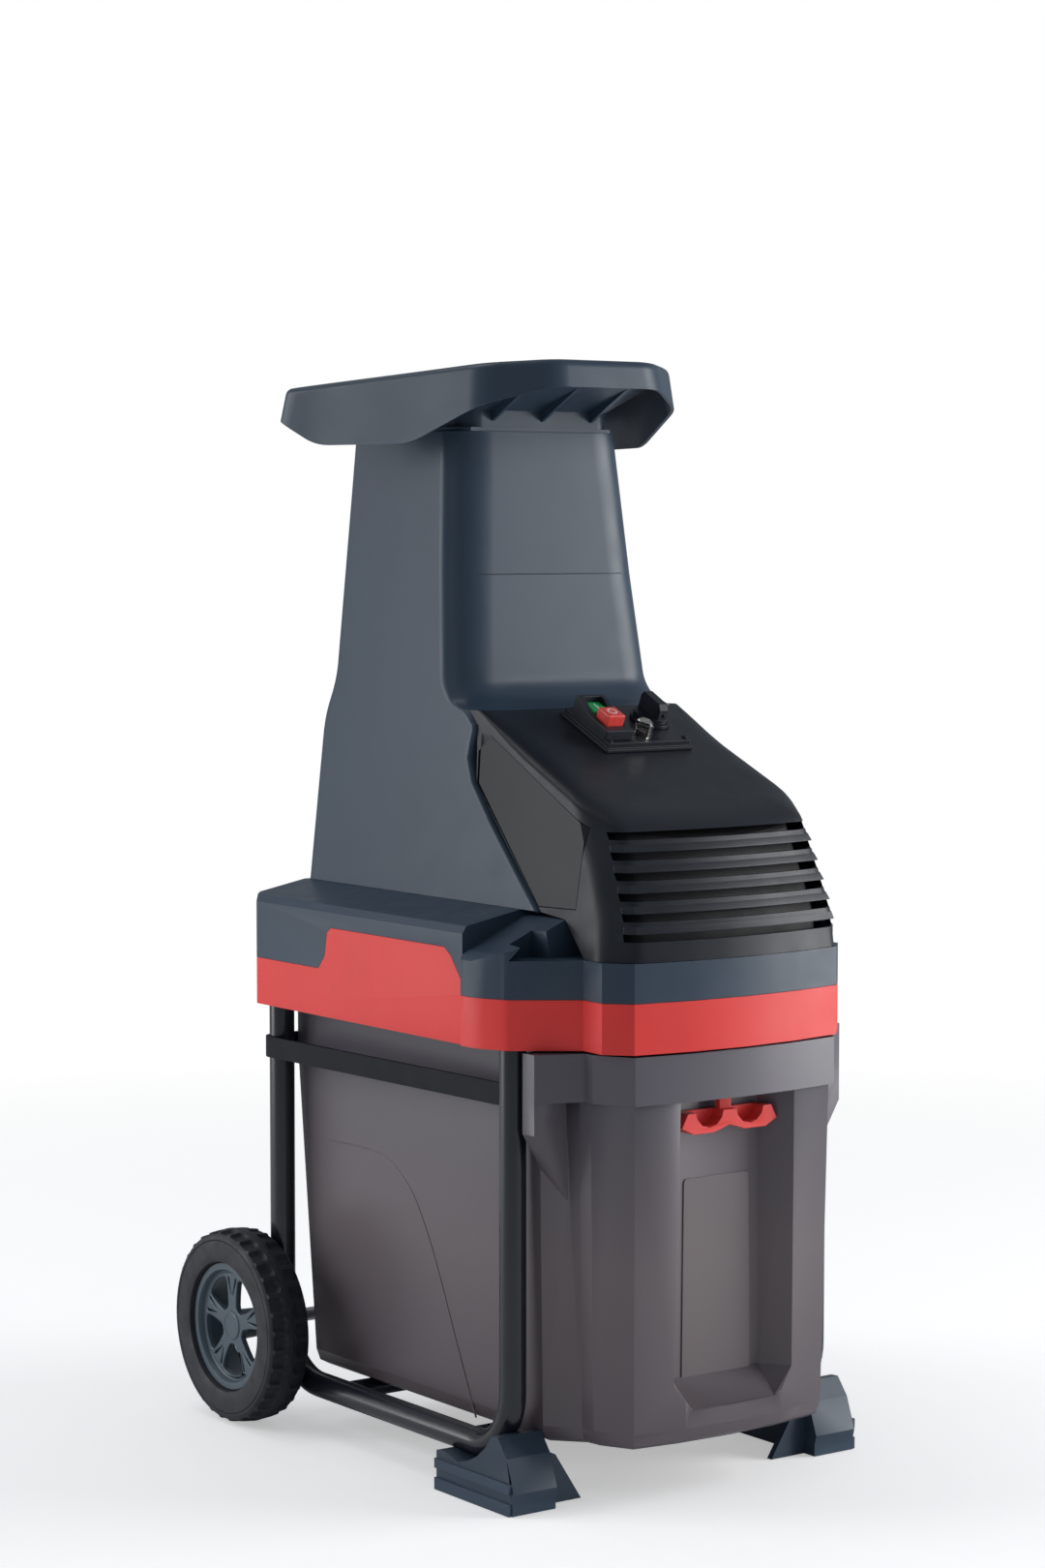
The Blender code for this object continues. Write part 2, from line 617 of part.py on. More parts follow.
def spoke_window(angle, start, end):
    """Teardrop opening between two spokes, wide at the rim."""
    reach = RIM_INNER_RADIUS - 0.003
    outline = []
    for r, t in ((0.018, -10), (0.030, -20), (reach - 0.004, -23), (reach, -17),
                 (reach, 17), (reach - 0.004, 23), (0.030, 20), (0.018, 10)):
        a = angle + radians(t)
        outline.append((AXLE_Y + r * cos(a), TREAD_RADIUS + r * sin(a)))
    return prism("window", outline, start, end, "X")


def spoke_slit(angle, start, end):
    """Narrow pocket along the middle of a spoke."""
    outline = []
    for r, t in ((0.026, -1.2), (0.043, -3.2), (0.043, 3.2), (0.026, 1.2)):
        a = angle + radians(t)
        outline.append((AXLE_Y + r * cos(a), TREAD_RADIUS + r * sin(a)))
    return prism("slit", outline, start, end, "X")


def make_rim(side, word):
    """Rim with a barrel, a dished disc with five openings, and a blind hub."""
    hub = WHEEL_CENTRE
    middle = WHEEL_INNER_X + TYRE_WIDTH / 2
    near = middle - RIM_WIDTH / 2
    far = middle + RIM_WIDTH / 2
    face = far - 0.004
    plate = 0.004
    barrel = [(RIM_INNER_RADIUS, near), (RIM_RADIUS - FIT, near), (RIM_RADIUS - FIT, far),
              (RIM_INNER_RADIUS + 0.003, far), (RIM_INNER_RADIUS, far - 0.003)]
    rim = turned("rim", "X", hub, barrel, 24)
    disc = rod("disc", "X", hub, RIM_INNER_RADIUS + 0.001, face - plate, face, 24)
    post = rod("post", "X", hub, HUB_RADIUS, TRACK_HALF + TUBE_RADIUS + FIT, face, 16)
    join(rim, disc, post)
    cuts = []
    for i in range(SPOKE_COUNT):
        angle = pi / 2 + 2 * pi * i / SPOKE_COUNT
        cuts.append(spoke_window(angle + pi / SPOKE_COUNT, face - 0.01, face + 0.01))
        cuts.append(spoke_slit(angle, face - 0.0015, face + 0.01))
    cuts.append(rod("bore", "X", hub, AXLE_DIAMETER / 2 + FIT, 0.15, face - plate, 16))
    cut(rim, *cuts)
    if side < 0:
        flipped = mirrored(rim, "flipped")
        bpy.data.objects.remove(rim, do_unlink=True)
        rim = flipped
    centre = (side * middle, *WHEEL_CENTRE)
    finish(rim, "rim_" + word, RIM_GREY, centre)


def make_axle():
    reach = WHEEL_INNER_X + TYRE_WIDTH / 2 + RIM_WIDTH / 2 - 0.008 - 0.001
    axle = rod("axle", "X", WHEEL_CENTRE, AXLE_DIAMETER / 2, -reach, reach, 16)
    finish(axle, "wheel_axle", STEEL)


# Lower housing


def front_bulge(half_width, corner_y, middle_y, steps=2):
    """Right half of the softly curved front, from the middle out to the chamfer."""
    points = []
    for i in range(steps + 1):
        x = half_width * i / steps
        points.append((x, middle_y + (corner_y - middle_y) * (x / half_width) ** 2))
    return points


def housing_plan():
    """Right half of the lower housing's outline, from the front round to the rear."""
    half = front_bulge(NOSE_CHAMFER_X, NOSE_CHAMFER_Y, NOSE_FRONT_Y)
    half += [(NOSE_HALF_WIDTH + 0.001, NOSE_CORNER_Y), (NOSE_HALF_WIDTH, BLOCK_FRONT_Y)]
    half += circle(TRACK_HALF, FRONT_TUBE_Y, BLOCK_CORNER_RADIUS, 4, radians(-62), radians(50))
    half += [(BLOCK_HALF_WIDTH - 0.004, BLOCK_BEND_Y - 0.014), (BLOCK_HALF_WIDTH, BLOCK_BEND_Y)]
    half += [(BLOCK_HALF_WIDTH, BLOCK_REAR_Y), (DECK_HALF_WIDTH, BLOCK_REAR_Y + 0.003)]
    half += [(DECK_HALF_WIDTH, DECK_REAR_Y - DECK_CORNER), (DECK_HALF_WIDTH - DECK_CORNER, DECK_REAR_Y)]
    half += [(0.0, DECK_REAR_Y)]
    return half


def tab_outline(grow=0.0):
    """Raised tab of the red band, as (y, z) points in the side's plane."""
    front = BLOCK_REAR_Y + 0.004 - grow
    rear = TAB_REAR_Y + grow
    low = BAND_TOP - 0.012
    return [(front, low), (front, BAND_TOP + 0.010), (TAB_FRONT_Y - 0.009 - grow, TAB_TOP - 0.006 + grow),
            (TAB_FRONT_Y, TAB_TOP + grow), (TAB_REAR_Y, TAB_TOP + grow), (rear + 0.006, TAB_TOP - 0.004),
            (rear + 0.010, BAND_TOP + 0.011), (rear + 0.020, BAND_TOP), (rear + 0.020, low)]


def make_red_band():
    top = BAND_TOP - FIT
    plan = both_sides(housing_plan())
    band = prism("band", plan, BAND_BOTTOM, top)
    cut(band, prism("room", inset(plan, BAND_WALL), BAND_BOTTOM - 0.01, top + 0.01))
    for side in (-1, 1):
        outer = side * DECK_HALF_WIDTH
        inner = side * (DECK_HALF_WIDTH - TAB_THICKNESS)
        join(band, prism("tab", tab_outline(), min(outer, inner), max(outer, inner), "X"))
    finish(band, "red_band", BAND_RED)


def deck_upper_solid():
    """The deck's top form: a low roof behind and two sloping corner blocks in front."""
    base = BAND_TOP
    crest = TOWER_HALF_BOTTOM + 0.002
    roof = [(crest, DECK_TOP), (-crest, DECK_TOP), (-DECK_HALF_WIDTH + 0.004, DECK_SHOULDER + 0.006),
            (-DECK_HALF_WIDTH, DECK_SHOULDER), (-DECK_HALF_WIDTH, base),
            (DECK_HALF_WIDTH, base), (DECK_HALF_WIDTH, DECK_SHOULDER),
            (DECK_HALF_WIDTH - 0.004, DECK_SHOULDER + 0.006)]
    block_end = BLOCK_REAR_Y + 0.003
    solid = prism("solid", roof, block_end, DECK_REAR_Y, "Y")
    wide = BLOCK_HALF_WIDTH + 0.01
    blocks = [(NOSE_HALF_WIDTH - 0.004, DECK_TOP - 0.004), (-NOSE_HALF_WIDTH + 0.004, DECK_TOP - 0.004),
              (-BLOCK_HALF_WIDTH + 0.008, BLOCK_TOP + 0.004), (-wide, BLOCK_TOP - 0.012), (-wide, base),
              (wide, base), (wide, BLOCK_TOP - 0.012), (BLOCK_HALF_WIDTH - 0.008, BLOCK_TOP + 0.004)]
    join(solid, prism("blocks", blocks, BLOCK_FRONT_Y - 0.01, block_end + 0.0001, "Y"))
    nose = [(-wide, base), (wide, base), (wide, HOOD_BOTTOM - FIT), (-wide, HOOD_BOTTOM - FIT)]
    join(solid, prism("nose", nose, NOSE_FRONT_Y - 0.01, BLOCK_FRONT_Y - 0.0099, "Y"))
    return solid


def hand_pocket(side):
    """Triangular finger pocket in the front of a corner block."""
    floor = BLOCK_TOP - 0.001
    low = [(side * x, y, floor) for x, y in POCKET_FLOOR]
    high = [(side * x, y, floor + POCKET_DEPTH) for x, y in POCKET_ROOF]
    return loft("pocket", [low, high])


def make_base_deck():
    base = BAND_TOP
    plan = both_sides(housing_plan())
    deck = prism("deck", plan, base, DECK_TOP + 0.01)
    keep_inside(deck, deck_upper_solid())
    seat = [(-HOOD_SEAT_HALF, BLOCK_FRONT_Y - 0.03), (HOOD_SEAT_HALF, BLOCK_FRONT_Y - 0.03),
            (HOOD_SEAT_HALF, HOOD_SEAT_REAR_Y), (-HOOD_SEAT_HALF, HOOD_SEAT_REAR_Y)]
    lower = prism("lower", inset(plan, DECK_WALL), base - 0.01, BLOCK_TOP - 0.006)
    room = block("room", (-DECK_HALF_WIDTH + DECK_WALL, BLOCK_REAR_Y + 0.016, base - 0.01),
                 (DECK_HALF_WIDTH - DECK_WALL, DECK_REAR_Y - DECK_WALL, DECK_SHOULDER - DECK_ROOF))
    step = prism("step", seat, HOOD_BOTTOM - FIT, DECK_TOP + 0.02)
    cut(deck, lower, room, step, hand_pocket(-1), hand_pocket(1))
    socket_top = base + SOCKET_DEPTH + FIT
    for side in (-1, 1):
        for y, roof in ((FRONT_TUBE_Y, BLOCK_TOP - 0.004), (REAR_TUBE_Y, DECK_SHOULDER - 0.004)):
            spot = (side * TRACK_HALF, y)
            boss = rod("boss", "Z", spot, TUBE_RADIUS + SOCKET_WALL, base, roof, 12)
            join(deck, keep_inside(boss, prism("limit", inset(plan, 0.0015), base, DECK_TOP)))
            bore = (TUBE_RADIUS + FIT) / cos(pi / 12)
            cut(deck, rod("bore", "Z", spot, bore, base - 0.02, socket_top, 12))
        outer = side * (DECK_HALF_WIDTH + 0.01)
        inner = side * (DECK_HALF_WIDTH - TAB_THICKNESS - FIT)
        cut(deck, prism("tab", tab_outline(FIT), min(outer, inner), max(outer, inner), "X"))
    chips = block("chips", (ROLLER_X - ROLLER_RADIUS, ROLLER_FRONT_Y, base),
                  (CHAMBER_RIGHT_X - CHAMBER_SIDE_WALL, ROLLER_FRONT_Y + ROLLER_LENGTH, DECK_TOP + 0.02))
    cut(deck, chips)
    finish(deck, "base_deck", HOUSING_GREY)


# Tower


def tower_half(z):
    """Half width of the tower's flat sides at a height."""
    return straight((DECK_TOP, TOWER_HALF_BOTTOM), (TOWER_TOP, TOWER_HALF_TOP), z)


def tower_solid(name, shrink, half_shrink, stretch):
    """The tower's outer form, or its inner room when shrunk by the wall."""
    lower = HOOD_LINE[1:]
    front_count = len(TOWER_FRONT)
    points = TOWER_FRONT + lower + list(reversed(TOWER_REAR))
    loops = []
    for side, bevelled in ((-1, True), (-1, False), (1, False), (1, True)):
        loop = []
        for i, (y, z) in enumerate(points):
            half = tower_half(z) - half_shrink
            x = half if bevelled else half - TOWER_BEVEL_X
            rear = i >= front_count + len(lower)
            y_moved = y - shrink if rear else y + shrink
            if i < front_count and bevelled:
                y_moved += TOWER_BEVEL_Y
            if stretch and front_count <= i < front_count + len(lower):
                y_moved = y - 0.2
            z_moved = z
            if stretch and z == TOWER_TOP:
                z_moved = z + 0.02
            if stretch and z == DECK_TOP:
                z_moved = z - 0.02
            loop.append((side * x, y_moved, z_moved))
        loops.append(loop)
    return loft(name, loops)


def tower_middle(name, margin):
    """The slab between the two creases of the front panel, over the whole depth."""
    loops = []
    bottom, top = DECK_TOP - TOWER_MARGIN, TOWER_TOP + TOWER_MARGIN
    for side in (-1, 1):
        low = side * (tower_half(bottom) - TOWER_BEVEL_X + margin)
        high = side * (tower_half(top) - TOWER_BEVEL_X + margin)
        loops.append([(low, -BEYOND, bottom), (low, BEYOND, bottom),
                      (high, BEYOND, top), (high, -BEYOND, top)])
    return loft(name, loops)


def make_tower():
    """Side mouldings, front panels and rear cover cut from one hollow form."""
    shell = tower_solid("shell", 0.0, 0.0, False)
    cut(shell, tower_solid("room", SHELL_WALL, SHELL_WALL, True))
    bottom, top = DECK_TOP - TOWER_MARGIN, TOWER_TOP + TOWER_MARGIN
    cut(shell, block("lift", (-BEYOND, -BEYOND, bottom), (BEYOND, BEYOND, DECK_TOP + FIT)))
    sides = copy_of(shell, "sides")
    cut(sides, tower_middle("middle", FIT / 2))
    for side, word in ((-1, "left"), (1, "right")):
        cheek = copy_of(sides, "cheek")
        low_x, high_x = min(0, side * BEYOND), max(0, side * BEYOND)
        keep_inside(cheek, block("half", (low_x, -BEYOND, bottom), (high_x, BEYOND, top)))
        if side > 0:
            spot = (SPINDLE_Y, ROLLER_HEIGHT)
            cut(cheek, rod("hole", "X", spot, SPINDLE_RADIUS + SLIDE_GAP, 0, BEYOND))
            cut(cheek, rod("port", "X", (INLET_Y, INLET_HEIGHT), INLET_RADIUS + FIT, 0, BEYOND, 20))
        finish(cheek, "cheek_" + word, HOUSING_GREY)
    bpy.data.objects.remove(sides, do_unlink=True)
    keep_inside(shell, tower_middle("middle", -FIT / 2))
    left, right = -BEYOND, BEYOND
    parts = (("front_panel_upper", (left, -BEYOND, PANEL_JOINT + FIT / 2), (right, REAR_JOINT_Y, top)),
             ("front_panel_lower", (left, -BEYOND, bottom), (right, REAR_JOINT_Y, PANEL_JOINT - FIT / 2)),
             ("rear_cover", (left, REAR_JOINT_Y, bottom), (right, BEYOND, top)))
    for name, low, high in parts:
        piece = copy_of(shell, "piece")
        finish(keep_inside(piece, block("limit", low, high)), name, HOUSING_GREY)
    bpy.data.objects.remove(shell, do_unlink=True)


# Motor hood


def hood_half(z):
    return tower_half(z) - HOOD_INSET


def hood_slope(y):
    """Height of the hood's sloping top."""
    return straight((FILLET_FOOT_Y, FILLET_FOOT), (SLOPE_END_Y, SLOPE_END), y)


def hood_solid(name, shrink):
    """Hood form from stacked outlines, with its top cut to the slope and rounded."""
    loops = []
    for z, front_y, side_y in HOOD_ROWS:
        half = hood_half(z) - shrink
        front = front_bulge(half - HOOD_CHAMFER_X, front_y + shrink, front_y - HOOD_BULGE + shrink)
        outline = both_sides(front + [(half, side_y + shrink * 0.6), (half, 0.0), (0.0, 0.0)])
        below = 0.02 if shrink and z == HOOD_BOTTOM else 0.0
        loops.append([(x, y, z - below) for x, y in outline])
    solid = loft(name, loops)
    drop = shrink / cos(SLOPE)
    front, rear, high = -BEYOND - 0.1, BEYOND - 0.2, FILLET_FOOT + 0.164
    top = [(y, hood_slope(y) - drop) for y in (front, rear)] + [(rear, high), (front, high)]
    cut(solid, prism("above", top, -BEYOND, BEYOND, "X"))

    def on_top(a, b):
        near = all(abs(v.z - (hood_slope(v.y) - drop)) < 1e-4 for v in (a, b))
        return near and not (a.y > -0.001 and b.y > -0.001)

    return round_edges(solid, on_top, HOOD_EDGE_RADIUS - shrink, 3)


def behind_hood_line(name, grow):
    """Everything behind the line where the hood meets the side mouldings."""
    line = [(y - grow, z) for y, z in HOOD_LINE]
    low, top, rear = HOOD_BOTTOM - 0.045, FILLET_FOOT + 0.164, TOWER_REAR_Y + 0.043
    rest = line[1:] + [(HOOD_LINE[-1][0] - 0.003 - grow, DECK_TOP - 0.0005)]
    rest += [(HOOD_SEAT_REAR_Y, DECK_TOP - 0.0035), (BLOCK_FRONT_Y, HOOD_BOTTOM - 0.001)]
    rest += [(BLOCK_FRONT_Y, low), (rear, low), (rear, top)]
    crease = tower_half(FILLET_FOOT) - TOWER_BEVEL_X
    wide = NOSE_HALF_WIDTH + 0.018
    back = TOWER_BEVEL_Y * (wide - crease) / TOWER_BEVEL_X
    loops = []
    for x, shift in ((-wide, back), (-crease, 0.0), (crease, 0.0), (wide, back)):
        foot = line[0][0] + shift
        loops.append([(x, y, z) for y, z in [(foot, top), (foot, FILLET_FOOT)] + rest])
    return loft(name, loops)


def make_hood():
    """Black hood with louvre slots round its front and a window in each side."""
    hood = hood_solid("hood", 0.0)
    cutters = [hood_solid("room", SHELL_WALL), behind_hood_line("behind", FIT)]
    for i in range(LOUVRE_COUNT):
        top = LOUVRE_TOP - i * LOUVRE_PITCH
        half = hood_half(top) - LOUVRE_END
        cutters.append(block("slot", (-half, -BEYOND, top - LOUVRE_GAP), (half, LOUVRE_REAR_Y, top)))
    cutters.append(prism("window", WINDOW, -BEYOND, BEYOND, "X"))
    # The exact solver leaves open edges where the slots end near the chamfers.
    combine(hood, cutters, "DIFFERENCE", "MANIFOLD")
    finish(hood, "motor_hood", HOOD_BLACK)


def make_windows():
    """Smoky plates that fill the hood's side openings."""
    for side, word in ((-1, "left"), (1, "right")):
        pane = hood_solid("pane", 0.0)
        cut(pane, hood_solid("room", SHELL_WALL))
        low_x, high_x = (-0.3, -0.06) if side < 0 else (0.06, 0.3)
        keep_inside(pane, prism("limit", inset(WINDOW, FIT), low_x, high_x, "X"))
        finish(pane, "hood_window_" + word, SMOKE)


# Control plate, built flat and then set on the slope


def on_slope(piece):
    """Turn a piece built in the slope's own axes into place on the hood."""
    move = Matrix.Translation((0, FILLET_FOOT_Y, FILLET_FOOT)) @ Matrix.Rotation(SLOPE, 4, "X")
    piece.matrix_basis = move @ piece.matrix_basis
    return piece


def make_control_plate():
    low = PLATE_HEIGHT * 0.4
    plate = block("plate", (PLATE_LEFT, PLATE_FRONT, FIT), (PLATE_RIGHT, PLATE_REAR, low))
    edge = 0.0025
    upper = block("upper", (PLATE_LEFT + edge, PLATE_FRONT + edge, low / 2),
                  (PLATE_RIGHT - edge, PLATE_REAR - edge, PLATE_HEIGHT))
    join(plate, upper)
    cut(plate, rod("well", "Z", (RESET_X, RESET_ALONG), 0.0048 + FIT, 0.003, 0.02, 20))
    finish(on_slope(plate), "control_plate", HOOD_BLACK)


def make_switch_housing():
    """Wedge housing with a deep well for the start button and a low one for the stop."""
    top = PLATE_HEIGHT + FIT
    half = BUTTON_SIZE / 2 + 0.0055
    front = STOP_ALONG - BUTTON_SIZE / 2 - 0.009
    rear = START_ALONG + BUTTON_SIZE / 2 + 0.004
    middle = (START_ALONG + STOP_ALONG) / 2
    side = [(front, top), (rear, top), (rear, top + 0.017), (rear - 0.009, top + 0.0165),
            (middle + 0.004, top + 0.011), (middle - 0.004, top + 0.0095), (front, top + 0.0085)]
    housing = prism("housing", side, BUTTON_X - half, BUTTON_X + half, "X")
    well = BUTTON_SIZE / 2 + SLIDE_GAP
    floor = top + 0.0015
    for along in (START_ALONG, STOP_ALONG):
        cut(housing, block("well", (BUTTON_X - well, along - well, floor),
                           (BUTTON_X + well, along + well, 0.05)))
    finish(on_slope(housing), "switch_housing", HOOD_BLACK)


def make_push_button(name, along, height, look):
    base = PLATE_HEIGHT + FIT + 0.0015 + BUTTON_TRAVEL + FIT
    half = BUTTON_SIZE / 2
    button = block("button", (BUTTON_X - half, along - half, base), (BUTTON_X + half, along + half, height))
    round_edges(button, lambda a, b: abs(a.z - height) < 1e-5 and abs(b.z - height) < 1e-5, 0.0008, 1)
    finish(button, name, look, (BUTTON_X, along, base))
    on_slope(button)


def make_selector():
    spot = (SELECTOR_X, SELECTOR_ALONG)
    base_low = PLATE_HEIGHT + FIT
    base_high = base_low + 0.003
    base = rod("base", "Z", spot, SELECTOR_RADIUS + 0.002, base_low, base_high, 24)
    cut(base, rod("bore", "Z", spot, 0.004 + SLIDE_GAP, base_low + 0.0008, 0.03, 16))
    finish(on_slope(base), "selector_base", HOOD_BLACK)
    low = base_high + FIT
    disc_top = low + 0.004
    knob = rod("knob", "Z", spot, SELECTOR_RADIUS, low, disc_top, 24)
    join(knob, rod("pin", "Z", spot, 0.004, base_low + 0.0008 + FIT, low + 0.001, 16))
    reach = SELECTOR_RADIUS - 0.001
    wing = [(SELECTOR_ALONG - reach, disc_top - 0.001), (SELECTOR_ALONG + reach, disc_top - 0.001),
            (SELECTOR_ALONG + reach, disc_top + 0.0105), (SELECTOR_ALONG + reach - 0.0025, disc_top + 0.0145),
            (SELECTOR_ALONG - reach + 0.0035, disc_top + 0.0135), (SELECTOR_ALONG - reach, disc_top + 0.009)]
    grip = prism("grip", wing, SELECTOR_X - 0.0042, SELECTOR_X + 0.0042, "X")
    join(knob, grip)
    cut(knob, rod("dot", "Y", (SELECTOR_X, disc_top + 0.004), 0.0014,
                  SELECTOR_ALONG - reach - 0.01, SELECTOR_ALONG - reach + 0.003, 12))
    finish(knob, "selector_knob", HOOD_BLACK, (SELECTOR_X, SELECTOR_ALONG, disc_top))
    on_slope(knob)


def make_reset():
    spot = (RESET_X, RESET_ALONG)
    base = 0.003 + RESET_TRAVEL + FIT
    button = rod("button", "Z", spot, 0.0048, base, PLATE_HEIGHT + 0.005, 20)
    finish(button, "reset_button", BUTTON_RED, (RESET_X, RESET_ALONG, base))
    on_slope(button)
    low = PLATE_HEIGHT + FIT
    cap = rod("cap", "Z", spot, CAP_RADIUS, low, low + 0.0135, 16)
    round_edges(cap, lambda a, b: a.z > low + 0.013 and b.z > low + 0.013, 0.0022, 1)
    cut(cap, rod("room", "Z", spot, CAP_RADIUS - 0.001, low - 0.01, low + 0.0120, 16))
    finish(on_slope(cap), "reset_cap", CLEAR)


# Feed hopper


def rim_height(y):
    return straight((RIM_FRONT_Y, RIM_FRONT_HEIGHT), (RIM_REAR_Y, RIM_REAR_HEIGHT), y)


def neck_half(shrink=0.0):
    """Right half of the neck's outline, with as many points as the rim's."""
    x = NECK_HALF_WIDTH - shrink
    front = NECK_FRONT_Y + shrink
    rear = NECK_REAR_Y - shrink
    return [(0.0, front), (x - 0.012, front), (x, front + 0.012), (x, NECK_FRONT_Y + 0.041),
            (x, NECK_REAR_Y - 0.040), (x, rear - 0.010), (x - 0.010, rear), (0.0, rear)]


def hopper_loop(half, heights):
    outline = both_sides(half)
    values = list(heights) + list(reversed(heights[1:-1]))
    return [(x, y, z) for (x, y), z in zip(outline, values)]


def make_hopper():
    """Funnel with a deep skirt, a neck that enters the tower, a flange and gussets."""
    rim = HOPPER_RIM
    skirt = HOPPER_SKIRT
    skirt_z = [RIM_REAR_HEIGHT - drop for drop in SKIRT_DROPS]
    rim_z = [rim_height(y) for x, y in rim]
    outer = loft("outer", [hopper_loop(skirt, skirt_z), hopper_loop(rim, rim_z)])
    inner_rim = inset(both_sides(rim), HOPPER_WALL)[:len(rim)]
    inner_skirt = inset(both_sides(skirt), HOPPER_WALL)[:len(skirt)]
    low = [z - 0.02 for z in skirt_z]
    high = [z + 0.02 for z in rim_z]
    cut(outer, loft("inner", [hopper_loop(inner_skirt, low), hopper_loop(inner_rim, high)]))
    web = inset(both_sides(rim), 0.001)[:len(rim)]
    collar = [COLLAR_TOP] * len(rim)
    foot = [NECK_BOTTOM] * len(rim)
    lip = [z - 0.001 for z in rim_z]
    funnel = loft("funnel", [hopper_loop(neck_half(), foot), hopper_loop(neck_half(), collar),
                             hopper_loop(web, lip)])
    edge = TOWER_HALF_TOP - 0.003
    front, rear = NECK_FRONT_Y - 0.001, NECK_REAR_Y + 0.006
    flange = both_sides([(0.0, front), (TOWER_HALF_TOP - TOWER_BEVEL_X - 0.0015, front),
                         (edge, TOWER_BEVEL_Y), (edge, rear), (0.0, rear)])
    join(funnel, prism("flange", flange, TOWER_TOP + FIT, TOWER_TOP + 0.0035))
    root, tip = NECK_FRONT_Y + 0.006, RIM_FRONT_Y + 0.016
    gusset = [(root, TOWER_TOP + 0.006), (root, TOWER_TOP + 0.035), (tip + 0.012, TOWER_TOP + 0.051),
              (tip, TOWER_TOP + 0.049)]
    for x in GUSSETS_X:
        join(funnel, prism("gusset", gusset, x - GUSSET_THICKNESS / 2, x + GUSSET_THICKNESS / 2, "X"))
    join(outer, funnel)
    web_inner = inset(both_sides(rim), HOPPER_WALL + 0.003)[:len(rim)]
    foot_low = [NECK_BOTTOM - 0.02] * len(rim)
    up = [z + 0.0002 for z in rim_z]
    above = [z + 0.02 for z in rim_z]
    throat = neck_half(0.0035)
    throat_top = [COLLAR_TOP + 0.0035] * len(rim)
    cut(outer, loft("throat", [hopper_loop(throat, foot_low), hopper_loop(throat, throat_top),
                               hopper_loop(web_inner, up), hopper_loop(web_inner, above)]))
    finish(outer, "feed_hopper", HOUSING_GREY)


# Collecting box


def box_plan(shrink, rear=BOX_REAR_Y):
    """Outline of the box's body with its rear wall at a place, drawn in by a distance."""
    (corner_x, corner_y), (step_x, step_y) = BOX_CORNER, BOX_STEP
    half = front_bulge(corner_x, corner_y, BOX_FRONT_Y)
    half += [BOX_STEP, (step_x + 0.002, step_y + 0.012), (BOX_HALF_WIDTH, BOX_SHOULDER_Y)]
    half += [(BOX_HALF_WIDTH, rear - BOX_REAR_CORNER), (BOX_HALF_WIDTH - BOX_REAR_CORNER, rear), (0.0, rear)]
    return inset(both_sides(half), shrink)


def rim_plan():
    """Outline of the box's rim, with a shoulder in front of each front upright."""
    (corner_x, corner_y), (step_x, step_y) = BOX_CORNER, BOX_STEP
    half = front_bulge(corner_x + 0.0025, corner_y - 0.004, BOX_FRONT_Y - 0.0035)
    half += [(step_x + 0.0025, step_y - 0.006), (step_x + 0.0025, step_y + 0.004)]
    half += [(WING_OUTER_X, BOX_SHOULDER_Y - WING_THICKNESS), (WING_OUTER_X, BOX_SHOULDER_Y)]
    half += [(BOX_HALF_WIDTH, BOX_SHOULDER_Y + 0.003), (BOX_HALF_WIDTH, BOX_REAR_Y - BOX_REAR_CORNER)]
    half += [(BOX_HALF_WIDTH - BOX_REAR_CORNER, BOX_REAR_Y), (0.0, BOX_REAR_Y)]
    return both_sides(half)


def recess(name, grow):
    """Tapered finger recess down the middle of the box's front."""
    back = RECESS_BACK_Y + grow
    low = BOX_BOTTOM + 0.028 - grow
    half = RECESS_FLOOR_HALF
    rows = ((low, half + 0.007, half, RECESS_MOUTH_Y + 0.006),
            (low + 0.022, half + 0.023, half + 0.003, back),
            (BOX_RIM_BOTTOM + grow, half + 0.017, half, back))
    loops = []
    for z, wide, narrow, y in rows:
        w, n = wide + grow, narrow + grow
        loops.append([(-w, -BEYOND, z), (w, -BEYOND, z), (w, RECESS_MOUTH_Y, z), (n, y, z), (-n, y, z),
                      (-w, RECESS_MOUTH_Y, z)])
    return loft(name, loops)


def box_body(name, shrink, low, high):
    """Tapered body of the box between two heights, with a rounded foot."""
    foot = BOX_REAR_FOOT_Y + BOX_TAPER
    rows = ((low, BOX_TAPER + 0.010, foot), (low + 0.004, BOX_TAPER + 0.003, foot),
            (low + 0.014, BOX_TAPER, foot), (high, 0.0, BOX_REAR_Y))
    loops = []
    for z, extra, rear in rows:
        loops.append([(x, y, z) for x, y in box_plan(shrink + extra, rear)])
    return loft(name, loops)


